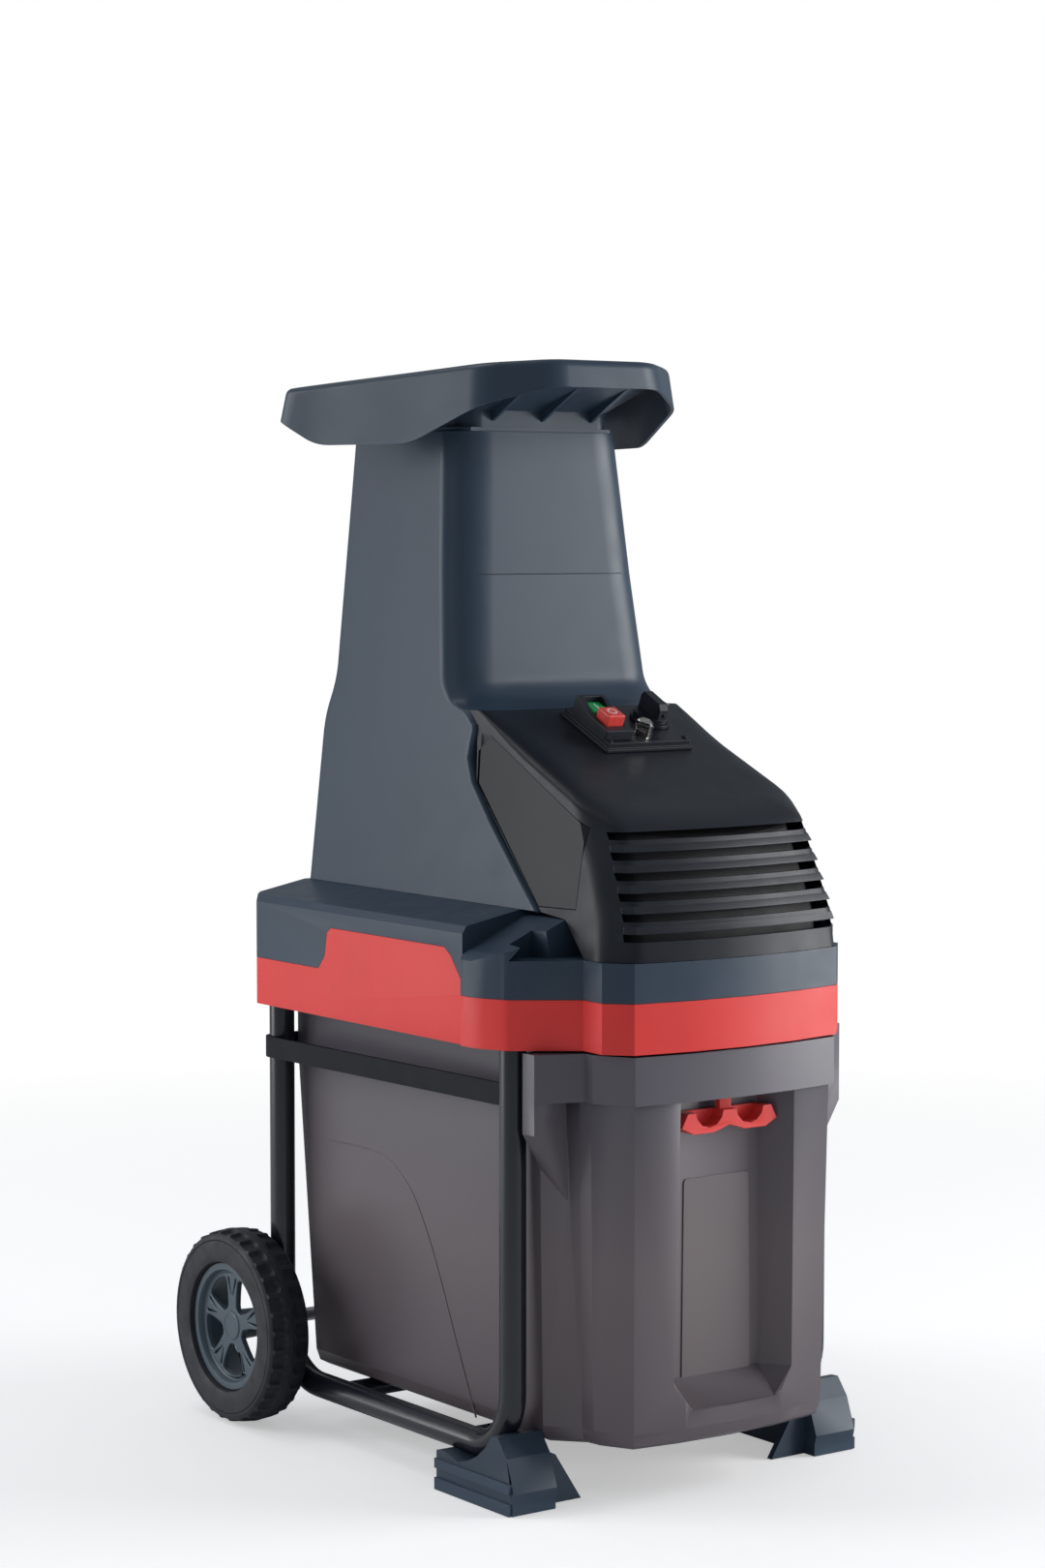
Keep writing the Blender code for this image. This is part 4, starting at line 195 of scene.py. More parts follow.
def tyre_rubber(name):
    """Matt tyre rubber, greyer and dustier in random patches."""
    paint = Paint(name)
    dust = paint.ranged(paint.noise(45.0, 5.0), 0.0, 1.0, 0.35, 0.75)
    paint.set("Base Color", paint.blend(dust, (0.013, 0.015, 0.023), (0.026, 0.028, 0.037)))
    paint.set("Roughness", paint.ranged(paint.noise(80.0, 4.0), 0.50, 0.68))
    paint.set("Normal", paint.bump(paint.noise(1100.0, 3.0), 0.00008, 0.5))
    return paint.material


def painted_steel(name, colour, roughness, coat=0.35):
    """Powder-coated steel with a faint orange peel under a glossy coat."""
    paint = Paint(name)
    clouds = paint.ranged(paint.noise(30.0), 0.0, 1.0)
    paint.set("Base Color", paint.blend(clouds, scaled(colour, 0.85), scaled(colour, 1.25)))
    paint.set("Roughness", paint.ranged(paint.noise(50.0, 4.0), roughness - 0.03, roughness + 0.05))
    paint.set("Coat Weight", coat)
    paint.set("Coat Roughness", 0.12)
    paint.set("Specular IOR Level", 0.15 + coat)
    paint.set("Normal", paint.bump(paint.noise(420.0, 2.0), 0.00006, 0.45))
    return paint.material


def bare_metal(name, colour, roughness, brushed):
    """Turned or cast metal: fine brush lines one way, or a pitted cast skin."""
    paint = Paint(name)
    paint.set("Metallic", 1.0)
    stretch = (1.0, 0.06, 1.0) if brushed else (1.0, 1.0, 1.0)
    lines = paint.noise(900.0 if brushed else 500.0, 4.0, paint.stretched(stretch))
    tone = paint.ranged(lines, 0.0, 1.0)
    paint.set("Base Color", paint.blend(tone, scaled(colour, 0.82), scaled(colour, 1.1)))
    paint.set("Roughness", paint.ranged(lines, roughness - 0.06, roughness + 0.1))
    paint.set("Normal", paint.bump(lines, 0.00008, 0.5))
    return paint.material


def clear_cap(name):
    """Clear hard cap with a slight straw tint."""
    paint = Paint(name)
    tone = paint.ranged(paint.noise(200.0), 0.0, 1.0)
    paint.set("Base Color", paint.blend(tone, (0.93, 0.90, 0.84), (0.98, 0.96, 0.92)))
    paint.set("Roughness", paint.ranged(paint.noise(300.0), 0.02, 0.08))
    paint.set("Transmission Weight", 1.0)
    paint.set("IOR", 1.42)
    return paint.material


LOOKS = {
    "housing": moulded_plastic("housing_grey", (0.031, 0.052, 0.081), 0.36, edge=0.3, shine=0.40),
    "band": moulded_plastic("band_red", (0.84, 0.052, 0.047), 0.40, edge=0.10, shine=0.35),
    "hood": moulded_plastic("hood_black", (0.012, 0.015, 0.022), 0.36, edge=0.4, shine=0.30),
    # The three smoky looks carry painted shading by height on top of their smoke tint
    "smoke": smoky_plastic_with_painted_shading("smoky_box_painted_shading", (0.105, 0.088, 0.100), (0.155, 0.130, 0.140),
                           (0.110, 0.104, 0.128), 0.30),
    "panel": smoky_plastic_with_painted_shading("smoky_panel", (0.130, 0.108, 0.116), (0.172, 0.146, 0.150),
                           (0.150, 0.130, 0.140), 0.24),
    "pane": smoky_plastic_with_painted_shading("smoky_pane", (0.012, 0.013, 0.016), (0.016, 0.017, 0.021),
                          (0.012, 0.013, 0.016), 0.30, 0.22),
    "tube": painted_steel("tube_black", (0.009, 0.011, 0.017), 0.22),
    "strap": painted_steel("strap_black", (0.007, 0.008, 0.012), 0.50, 0.0),
    "tread": tyre_rubber("tyre_rubber"),
    "rim": moulded_plastic("rim_grey", (0.070, 0.100, 0.125), 0.38),
    "green": moulded_plastic("start_green", (0.010, 0.330, 0.085), 0.28, grain=0.00001, edge=0.2),
    "red": moulded_plastic("stop_red", (0.740, 0.055, 0.045), 0.28, grain=0.00001, edge=0.2),
    "latch": moulded_plastic("latch_red", (0.88, 0.070, 0.064), 0.32, edge=0.10, shine=0.35),
    "clear": clear_cap("clear_cap"),
    "steel": bare_metal("bare_steel", (0.50, 0.50, 0.51), 0.32, True),
    "cast": bare_metal("cast_aluminium", (0.60, 0.61, 0.62), 0.45, False),
    "winding": bare_metal("stator_laminations", (0.34, 0.19, 0.11), 0.50, True),
    "mark": moulded_plastic("printed_white", (0.80, 0.80, 0.78), 0.45, grain=0.00001, edge=0.0),
    # Near-black: the reset button's own colour, and painted shade on the sheet inside the hood
    "dark": moulded_plastic("black_and_painted_shade", (0.006, 0.006, 0.008), 0.60),
}


# Mesh helpers


def body_of(node):
    """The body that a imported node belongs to."""
    groups = frame["record"]["behaviour"]["bodies"]
    return next(body for body, nodes in groups.items() if node in nodes)


def add_piece(name, mesh, look, body, replaced=()):
    """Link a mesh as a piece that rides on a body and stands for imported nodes."""
    piece = bpy.data.objects.new(name, mesh)
    mesh.name = name
    mesh.materials.clear()
    mesh.materials.append(LOOKS[look])
    bpy.context.scene.collection.objects.link(piece)
    if replaced:
        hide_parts(*replaced)
    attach(piece, body)
    return piece


def smoothed(mesh, angle):
    """The mesh shaded smooth except over edges that turn by more than an angle."""
    mesh.shade_smooth()
    mesh.set_sharp_from_angle(angle=radians(angle))
    return mesh


def mesh_from(shape, smooth=30):
    """A mesh from a bmesh, smooth except over sharp edges."""
    bmesh.ops.recalc_face_normals(shape, faces=shape.faces)
    mesh = bpy.data.meshes.new("mesh")
    shape.to_mesh(mesh)
    shape.free()
    return smoothed(mesh, smooth)


def evaluated(piece):
    """The mesh of an object after its modifiers."""
    bpy.context.view_layer.update()
    graph = bpy.context.evaluated_depsgraph_get()
    return bpy.data.meshes.new_from_object(piece.evaluated_get(graph))


def softened(piece, width, segments=3, angle=24):
    """Round a piece's sharp edges as a mould does."""
    edge = piece.modifiers.new("soft edges", "BEVEL")
    edge.width = width
    edge.segments = segments
    edge.limit_method = "ANGLE"
    edge.angle_limit = radians(angle)
    edge.use_clamp_overlap = True
    edge.harden_normals = True


def steady(piece):
    """Keep large faces flat where small rounding faces meet them."""
    weigh = piece.modifiers.new("flat faces", "WEIGHTED_NORMAL")
    weigh.keep_sharp = True
    weigh.weight = 80


def packed_form(node, flat_angle):
    """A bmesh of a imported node's own form, without the edges inside its flat faces."""
    shape = bmesh.new()
    shape.from_mesh(frame["nodes"][node].data)
    bmesh.ops.remove_doubles(shape, verts=shape.verts, dist=1e-6)
    bmesh.ops.dissolve_limit(shape, angle_limit=radians(flat_angle), verts=shape.verts,
                             edges=shape.edges)
    return shape


def moulding(node, look, width):
    """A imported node's own form with moulded edges and a detailed finish."""
    mesh = mesh_from(packed_form(node, 1.0))
    softened(add_piece(node + "_skin", mesh, look, body_of(node), [node]), width)


def paint_node(node, look):
    """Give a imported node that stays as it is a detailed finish."""
    slots = frame["nodes"][node].data.materials
    if len(slots) == 0:
        slots.append(LOOKS[look])
    for i in range(len(slots)):
        slots[i] = LOOKS[look]


def axis_point(axis, along, a, b):
    return {"X": (along, a, b), "Y": (a, along, b), "Z": (a, b, along)}[axis]


def joined_round(shape, rings):
    """Faces between rings of vertices, closed along each ring and from the last to the first."""
    for here, there in zip(rings, rings[1:] + rings[:1]):
        for k in range(len(here)):
            m = (k + 1) % len(here)
            shape.faces.new((here[k], here[m], there[m], there[k]))
    return shape


def turned(axis, centre, profile, sides):
    """A bmesh turned round an axis from (radius, along) points."""
    shape = bmesh.new()
    rings = []
    for i in range(sides):
        t = 2 * pi * i / sides
        points = [(centre[0] + r * cos(t), centre[1] + r * sin(t), s) for r, s in profile]
        rings.append([shape.verts.new(axis_point(axis, s, a, b)) for a, b, s in points])
    return joined_round(shape, rings)


def flat_cut_out(outlines, thickness, edge):
    """A flat plate from 2D outlines, the later ones being holes, with rounded edges."""
    curve = bpy.data.curves.new("outline", "CURVE")
    curve.dimensions = "2D"
    curve.fill_mode = "BOTH"
    curve.extrude = thickness / 2 - edge
    curve.bevel_depth = edge
    curve.bevel_resolution = 2
    curve.offset = -edge
    for outline in outlines:
        spline = curve.splines.new("POLY")
        spline.points.add(len(outline) - 1)
        for point, (a, b) in zip(spline.points, outline):
            point.co = (a, b, 0, 1)
        spline.use_cyclic_u = True
    holder = bpy.data.objects.new("outline", curve)
    bpy.context.scene.collection.objects.link(holder)
    mesh = evaluated(holder)
    bpy.data.objects.remove(holder, do_unlink=True)
    bpy.data.curves.remove(curve)
    return smoothed(mesh, 35)


def arc(a, b, radius, start, sweep, steps):
    angles = [radians(start + sweep * i / steps) for i in range(steps + 1)]
    return [(a + radius * cos(t), b + radius * sin(t)) for t in angles]


def bend(start, corner, end, steps):
    """Points of a quadratic curve that rounds a corner."""
    start, corner, end = Vector(start), Vector(corner), Vector(end)
    points = []
    for k in range(steps + 1):
        t = k / steps
        points.append(tuple(start * (1 - t) ** 2 + corner * 2 * t * (1 - t) + end * t ** 2))
    return points


def rounded(outline, radius, steps=5):
    """A closed outline with each corner rounded by an arc-like curve."""
    points = []
    for i, here in enumerate(outline):
        before = Vector(outline[i - 1])
        after = Vector(outline[(i + 1) % len(outline)])
        corner = Vector(here)
        reach = min(radius, (before - corner).length * 0.45, (after - corner).length * 0.45)
        start = corner + (before - corner).normalized() * reach
        end = corner + (after - corner).normalized() * reach
        points += bend(start, corner, end, steps)
    return points


# Wheels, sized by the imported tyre

TYRE_LOW, TYRE_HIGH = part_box("tyre_left")
WHEEL_Y = (TYRE_LOW.y + TYRE_HIGH.y) / 2
WHEEL_Z = (TYRE_LOW.z + TYRE_HIGH.z) / 2
WHEEL_MIDDLE = (-TYRE_HIGH.x - TYRE_LOW.x) / 2
TYRE_HALF_WIDTH = (TYRE_HIGH.x - TYRE_LOW.x) / 2
TREAD_RADIUS = (TYRE_HIGH.z - TYRE_LOW.z) / 2
TREAD_ROWS = 26
LUG_COUNT = 32
POINTS_PER_LUG = 10
POCKET_DEPTH = 0.0030
POCKET_HALF = 0.36
POCKET_END = 0.80
POCKET_CURVE = 0.30
RIM_RADIUS = 0.0563
LIP_INNER_RADIUS = 0.0490
LIP_HALF_WIDTH = 0.0152
FACE = LIP_HALF_WIDTH - 0.0055
DISC_THICKNESS = 0.0055
SPOKE_COUNT = 5


def pocket_depth(u, v):
    """Depth share of the tread pattern: u is along the pitch, v from the shoulder inwards."""
    side = abs((u + 0.5) % 1.0 - 0.5)
    inner = POCKET_END - POCKET_CURVE * (1 - sqrt(max(0.0, 1 - (side / POCKET_HALF) ** 2)))
    by_side = min(1.0, max(0.0, (POCKET_HALF - side) / 0.09))
    by_end = min(1.0, max(0.0, (inner - v) / 0.10))
    depth = min(by_side, by_end)
    return depth * depth * (3 - 2 * depth)


def make_tyre(side, word):
    """Tyre with two staggered rows of U-shaped pockets and ringed side walls."""
    half = TYRE_HALF_WIDTH
    shoulder = TREAD_RADIUS - 0.0045
    tread_half = half - 0.0032
    wall = [(RIM_RADIUS + 0.0004, half - 0.0035), (RIM_RADIUS + 0.0012, half - 0.0012),
            (RIM_RADIUS + 0.0035, half - 0.0004), (0.0640, half), (0.0740, half),
            (0.0758, half - 0.0002), (0.0763, half - 0.0009), (0.0768, half - 0.0002),
            (shoulder - 0.0024, half - 0.0002), (shoulder - 0.0006, half - 0.0010),
            (shoulder + 0.0010, tread_half + 0.0004)]
    across = [tread_half * (1 - 2 * k / TREAD_ROWS) for k in range(TREAD_ROWS + 1)]
    sides = LUG_COUNT * POINTS_PER_LUG
    shape = bmesh.new()
    rings = []
    for i in range(sides):
        profile = list(wall)
        for x in across:
            stagger = 0.0 if x > 0 else 0.5
            v = (tread_half - abs(x)) / tread_half
            deep = pocket_depth(i / POINTS_PER_LUG + stagger, v)
            seam = 0.0004 * max(0.0, 1 - abs(x) / 0.0012)
            crown = 0.0016 * (x / tread_half) ** 2
            profile.append((TREAD_RADIUS - 0.0005 - crown - POCKET_DEPTH * deep + seam, x))
        profile += [(r, -x) for r, x in reversed(wall)]
        t = 2 * pi * i / sides
        places = [(side * (WHEEL_MIDDLE + x), WHEEL_Y + r * cos(t), WHEEL_Z + r * sin(t))
                  for r, x in profile]
        rings.append([shape.verts.new(place) for place in places])
    mesh = mesh_from(joined_round(shape, rings), 40)
    add_piece("tyre_tread_" + word, mesh, "tread", "wheel_" + word, ["tyre_" + word])


def polar(points, turn, way=1):
    """Plain points from (radius, degrees) pairs, turned by an angle."""
    places = [(r, turn + way * radians(t)) for r, t in points]
    return [(r * cos(a), r * sin(a)) for r, a in places]


def teardrop(angle):
    """Rounded opening between two spokes, as (a, b) points round the hub."""
    reach = LIP_INNER_RADIUS - 0.0045
    corners = [(0.0170, -13), (0.030, -22), (reach, -23), (reach + 0.001, 0), (reach, 23), (0.030, 22),
               (0.0170, 13)]
    return rounded(polar(corners, angle), 0.0075, 6)


def spoke_slit(angle, lean):
    """One slim opening of the pair in a spoke."""
    corners = polar([(0.0265, 2.0), (0.0430, 7.0), (0.0430, 9.5), (0.0400, 9.5)], angle, lean)
    if lean < 0:
        corners.reverse()
    return rounded(corners, 0.0012, 3)


def make_rim(side, word):
    """Rim with a stepped lip, a barrel, a recessed five-spoke disc and a hub."""
    def round_piece(name, profile, sides, replaced=()):
        points = [(r, side * (WHEEL_MIDDLE + s)) for r, s in profile]
        mesh = mesh_from(turned("X", (WHEEL_Y, WHEEL_Z), points, sides))
        add_piece(name + word, mesh, "rim", "wheel_" + word, replaced)

    lip, inner = LIP_HALF_WIDTH, LIP_INNER_RADIUS
    ring = [(RIM_RADIUS, -lip), (RIM_RADIUS, lip - 0.0012), (RIM_RADIUS - 0.0008, lip - 0.0002),
            (RIM_RADIUS - 0.0022, lip), (inner + 0.0012, lip - 0.0004), (inner + 0.0004, lip - 0.0014),
            (inner - 0.0006, FACE + 0.0004), (inner - 0.0022, FACE - 0.0006), (inner - 0.0026, -lip)]
    round_piece("rim_ring_", ring, 96, ["rim_" + word])
    outlines = [arc(0, 0, inner - 0.0016, 0, 360 - 3.75, 95)]
    for i in range(SPOKE_COUNT):
        angle = pi / 2 + 2 * pi * i / SPOKE_COUNT
        outlines.append(teardrop(angle + pi / SPOKE_COUNT))
        outlines.append(spoke_slit(angle, 1))
        outlines.append(spoke_slit(angle, -1))
    disc = flat_cut_out(outlines, DISC_THICKNESS, 0.0010)
    turn = Matrix(((0, 0, side), (1, 0, 0), (0, 1, 0))).to_4x4()
    disc.transform(Matrix.Translation((side * (WHEEL_MIDDLE + FACE - 0.0027), WHEEL_Y, WHEEL_Z)) @ turn)
    add_piece("rim_disc_" + word, disc, "rim", "wheel_" + word)
    hub = [(0.0002, FACE - 0.003), (0.0128, FACE - 0.003), (0.0128, FACE + 0.0002),
           (0.0122, FACE + 0.0010), (0.0108, FACE + 0.0013), (0.0104, FACE + 0.0009),
           (0.0002, FACE + 0.0009)]
    round_piece("rim_hub_", hub, 48)
    post = [(0.0066, -0.0212), (0.0125, -0.0212), (0.0135, FACE - 0.004), (0.0066, FACE - 0.004)]
    round_piece("rim_post_", post, 48)


# Solids and skins built in code


def link_solid(shape):
    """A nameless helper object from a bmesh."""
    bmesh.ops.recalc_face_normals(shape, faces=shape.faces)
    mesh = bpy.data.meshes.new("solid")
    shape.to_mesh(mesh)
    shape.free()
    piece = bpy.data.objects.new("solid", mesh)
    bpy.context.scene.collection.objects.link(piece)
    return piece


def loft_shape(loops, closed_end_to_end=False, shape=None):
    """Skin through loops of equal length, capped or joined end to end."""
    shape = shape or bmesh.new()
    rings = [[shape.verts.new(point) for point in loop] for loop in loops]
    count = len(rings[0])
    pairs = list(zip(rings, rings[1:]))
    if closed_end_to_end:
        pairs.append((rings[-1], rings[0]))
    for lower, upper in pairs:
        for i in range(count):
            j = (i + 1) % count
            shape.faces.new((lower[i], lower[j], upper[j], upper[i]))
    if not closed_end_to_end:
        shape.faces.new(rings[0])
        shape.faces.new(rings[-1])
    return shape


def prism_shape(outline, start, end, axis="Z", shape=None):
    return loft_shape([[axis_point(axis, s, a, b) for a, b in outline] for s in (start, end)], shape=shape)


def block_shape(low, high):
    outline = [(low[0], low[1]), (high[0], low[1]), (high[0], high[1]), (low[0], high[1])]
    return prism_shape(outline, low[2], high[2])


def carved(piece, tools, solver="EXACT"):
    """The mesh of a helper object with others cut away. The helpers are removed."""
    for tool in tools:
        step = piece.modifiers.new("step", "BOOLEAN")
        step.operation = "DIFFERENCE"
        step.solver = solver
        step.object = tool
    mesh = evaluated(piece)
    for helper in (piece, *tools):
        bpy.data.objects.remove(helper, do_unlink=True)
    return mesh


def inset(points, distance):
    """Move every side of a closed outline inwards by a distance, with mitred corners."""
    area = sum(p[0] * q[1] - q[0] * p[1] for p, q in zip(points, points[1:] + points[:1]))
    turn = 1 if area > 0 else -1
    moved = []
    for i, here in enumerate(points):
        before = points[i - 1]
        after = points[(i + 1) % len(points)]
        first = Vector((here[0] - before[0], here[1] - before[1])).normalized()
        second = Vector((after[0] - here[0], after[1] - here[1])).normalized()
        normal_first = Vector((-first.y, first.x)) * turn
        normal_second = Vector((-second.y, second.x)) * turn
        middle = normal_first + normal_second
        scale = 2 * distance / middle.length_squared
        moved.append((here[0] + middle.x * scale, here[1] + middle.y * scale))
    return moved


def both_sides(half):
    """A closed outline from its right half, which starts and ends on the middle plane."""
    return list(half) + [(-x, y) for x, y in reversed(half) if abs(x) > 1e-9]


def straight(p, q, t):
    return p[1] + (q[1] - p[1]) * (t - p[0]) / (q[0] - p[0])


def along_line(points, t):
    """The value at t on a line through (t, value) points that run down in t."""
    for p, q in zip(points, points[1:]):
        if t >= q[0] or q is points[-1]:
            return straight(p, q, t)


def smooth_path(points, steps):
    """A curve through all points, with the ends kept."""
    ends = [points[0]] + list(points) + [points[-1]]
    path = []
    for a, b, c, d in zip(ends, ends[1:], ends[2:], ends[3:]):
        a, b, c, d = Vector(a), Vector(b), Vector(c), Vector(d)
        for k in range(steps):
            t = k / steps
            path.append(tuple(0.5 * (2 * b + (c - a) * t + (2 * a - 5 * b + 4 * c - d) * t ** 2
                                     + (3 * b - a - 3 * c + d) * t ** 3)))
    path.append(tuple(points[-1]))
    return path


def rounded_3d(corners, reach, steps):
    """A closed line through 3D corners with each one rounded off."""
    points = []
    for i, here in enumerate(corners):
        here, before = Vector(here), Vector(corners[i - 1])
        after = Vector(corners[(i + 1) % len(corners)])
        back = min(reach, (before - here).length * 0.45)
        on = min(reach, (after - here).length * 0.45)
        start = here + (before - here).normalized() * back
        end = here + (after - here).normalized() * on
        points += bend(start, here, end, steps)
    return points


def swept_bar(path, radius, sides):
    """A bmesh of a round bar along a path of 3D points, with flat ends."""
    path = [Vector(p) for p in path]
    loops = []
    side = None
    for i, here in enumerate(path):
        ahead = (path[min(i + 1, len(path) - 1)] - path[max(i - 1, 0)]).normalized()
        if side is None:
            side = ahead.orthogonal().normalized()
        side = (side - ahead * side.dot(ahead)).normalized()
        up = ahead.cross(side)
        angles = [2 * pi * k / sides for k in range(sides)]
        loops.append([here + side * radius * cos(t) + up * radius * sin(t) for t in angles])
    return loft_shape(loops)


# Tower

TOWER_TOP = 0.870
DECK_HEIGHT = 0.4783
TOWER_HALF_TOP = 0.0905
TOWER_HALF_BOTTOM = 0.1216
BEVEL_X = 0.015
BEVEL_Y = 0.021
SEAM_ROUNDING = 0.006
CREASE_ROUNDING = 0.004
PANEL_ROUNDING = 0.024
GROOVE_SHARES = (0, 0, 0, 0, 0, 0, 0.2, 0.6, 1, 1, 1)
SKIN_THICKNESS = 0.0028
INLET_PORT = (-0.062, 0.522, 0.0173)
GROOVE = {0.7496: 0.0, 0.7493: 0.0011, 0.7487: 0.0011, 0.7484: 0.0}
PANEL_LINE = [(0.870, 0.0), (0.749, -0.0115), (0.671, -0.0215)]
FILLET = [(0.671, -0.0215), (0.659, -0.0235), (0.649, -0.0295), (0.6415, -0.0390), (0.636, -0.055)]
HOOD_LINE = [(0.636, -0.034), (0.631, -0.0425), (0.626, -0.048), (0.620, -0.052), (0.577, -0.055),
             (0.478, -0.155)]
REAR_LINE = [(0.890, 0.157), (0.827, 0.159), (0.657, 0.165), (0.622, 0.180), (0.460, 0.1885)]


def tower_half(z):
    return straight((0.478, TOWER_HALF_BOTTOM), (TOWER_TOP, TOWER_HALF_TOP), z)


def rear_of_tower(z):
    """How far back the tower reaches at a height, with the bends of its line softened."""
    spread = [z + k * 0.004 for k in range(-3, 4)]
    return sum(along_line(REAR_LINE, s) for s in spread) / len(spread)


def tower_section(z, panel_y, crease_y, groove):
    """Left half of the tower's outline at a height, from its rear seam to the middle."""
    half = tower_half(z)
    rear_y = rear_of_tower(z)
    points = [(-half + BEVEL_X, rear_y)]
    points += bend((-half + SEAM_ROUNDING, rear_y), (-half, rear_y), (-half, rear_y - SEAM_ROUNDING), 4)
    points.append((-half, (rear_y + crease_y) / 2))
    crease = Vector((-half, crease_y))
    corner = Vector((-half + BEVEL_X, panel_y))
    along = (corner - crease).normalized()
    points += bend((-half, crease_y + CREASE_ROUNDING), crease, crease + along * CREASE_ROUNDING, 4)
    start = crease + (corner - crease) * 0.40
    inner = bend(start, corner, (-half + BEVEL_X + PANEL_ROUNDING, panel_y), 10)
    points += [(x, y + groove * share) for (x, y), share in zip(inner, GROOVE_SHARES)]
    points += [(-0.035, panel_y + groove), (0.0, panel_y + groove)]
    return points


def tower_rows():
    """Heights of the tower's outlines with the places of its panel and crease."""
    rows = []
    for z in (TOWER_TOP, 0.866, 0.83, 0.79, 0.755, *GROOVE, 0.744, 0.71, 0.685):
        y = along_line(PANEL_LINE, z)
        rows.append((z, y, y + BEVEL_Y, GROOVE.get(z, 0.0)))
    for z, y in smooth_path(FILLET, 4):
        rows.append((z, y, y + BEVEL_Y, 0.0))
    for z, y in smooth_path(HOOD_LINE, 3)[1:]:
        inner = y - 0.001 if z < 0.62 else min(y, -0.053)
        rows.append((z, inner, y, 0.0))
    rows[-1] = (DECK_HEIGHT, *rows[-1][1:])
    return rows


def make_tower():
    """One hollow skin for the side mouldings and the grooved front."""
    shape = bmesh.new()
    grid = []
    for z, panel_y, crease_y, groove in tower_rows():
        left = tower_section(z, panel_y, crease_y, groove)
        row = left + [(-x, y) for x, y in reversed(left[:-1])]
        grid.append([shape.verts.new((x, y, z)) for x, y in row])
    for upper, lower in zip(grid, grid[1:]):
        for i in range(len(upper) - 1):
            shape.faces.new((upper[i], lower[i], lower[i + 1], upper[i + 1]))
    skin = link_solid(shape)
    wall = skin.modifiers.new("wall", "SOLIDIFY")
    wall.thickness = SKIN_THICKNESS
    wall.offset = -1
    port = link_solid(prism_shape(arc(*INLET_PORT, 0, 352.5, 47), 0.09, 0.14, "X"))
    mesh = smoothed(carved(skin, [port]), 35)
    nodes = ["cheek_left", "cheek_right", "front_panel_upper", "front_panel_lower"]
    steady(add_piece("tower_skin", mesh, "housing", "frame", nodes))


# Motor hood

HOOD_ROWS = ((0.445, -0.264, -0.239), (0.475, -0.262, -0.236), (0.506, -0.250, -0.2235),
             (0.5405, -0.236, -0.207), (0.660, -0.188, -0.158))
HOOD_WALL = 0.003
HOOD_BULGE = 0.012
HOOD_CHAMFER = 0.0162
HOOD_ROUNDING = 0.026
HOOD_SHOULDER = 0.011
HOOD_SIDE_STOPS = (-0.120, -0.100, -0.085, -0.070, -0.055, -0.034)
FRONT_STEPS = 10
WALL_STEPS = 14
EDGE_GUESS = 0.58
EDGE_ROUNDS = 12
EASE_START = -0.045
EASE_LENGTH = 0.065
EASE_LEAST = 0.2
SLOPE_TOP = (-0.055, 0.636)
SLOPE_FOOT = (-0.206, 0.567)
SLOPE = atan2(SLOPE_TOP[1] - SLOPE_FOOT[1], SLOPE_TOP[0] - SLOPE_FOOT[0])
LOUVRE_COUNT = 6
LOUVRE_TOP = 0.5464
LOUVRE_PITCH = 0.0158
LOUVRE_GAP = 0.0062
LOUVRE_END = 0.0105
LIP_ROWS = ((0.0066, 0.0002), (0.0012, -0.0013), (0.0002, -0.0013), (0.0002, 0.0020))
LIP_END = 0.34
WINDOW = [(-0.072, 0.6165), (-0.2105, 0.5490), (-0.2035, 0.4830), (-0.1530, 0.4815), (-0.0565, 0.5765),
          (-0.0555, 0.6030)]


def hood_half(z):
    return tower_half(z) - 0.004


def hood_slope(y):
    return straight(SLOPE_TOP, SLOPE_FOOT, y)


def bulge(half_width, corner_y, middle_y):
    """Right half of the softly curved front."""
    return [(half_width * i / FRONT_STEPS, middle_y + (corner_y - middle_y) * (i / FRONT_STEPS) ** 2)
            for i in range(FRONT_STEPS + 1)]


def hood_plan(z, shrink):
    """Outline of the hood at a height, drawn in by a distance."""
    low, high = next((p, q) for p, q in zip(HOOD_ROWS, HOOD_ROWS[1:]) if z <= q[0] or q is HOOD_ROWS[-1])
    share = (z - low[0]) / (high[0] - low[0])
    front_y = low[1] + (high[1] - low[1]) * share + shrink
    side_y = low[2] + (high[2] - low[2]) * share + shrink * 0.6
    half = hood_half(z) - shrink
    front = bulge(half - HOOD_CHAMFER, front_y, front_y - HOOD_BULGE)
    return both_sides(front + [(half, side_y), (half, 0.0), (0.0, 0.0)])


def soft_plan(z, shrink):
    """The hood's outline at a height with its chamfer corners rounded."""
    corner = FRONT_STEPS
    right = hood_plan(z, shrink)[:corner + 4]
    before, first, second, after = (Vector(p) for p in right[corner - 1:corner + 3])
    slant = (second - first).normalized()
    near = bend(first + (before - first).normalized() * 0.006, first, first + slant * 0.008, 4)
    far = bend(second - slant * 0.010, second, second + (after - second).normalized() * 0.008, 4)
    along = [(second.x, y) for y in HOOD_SIDE_STOPS]
    return both_sides(right[:corner] + near + far + along + right[corner + 2:])


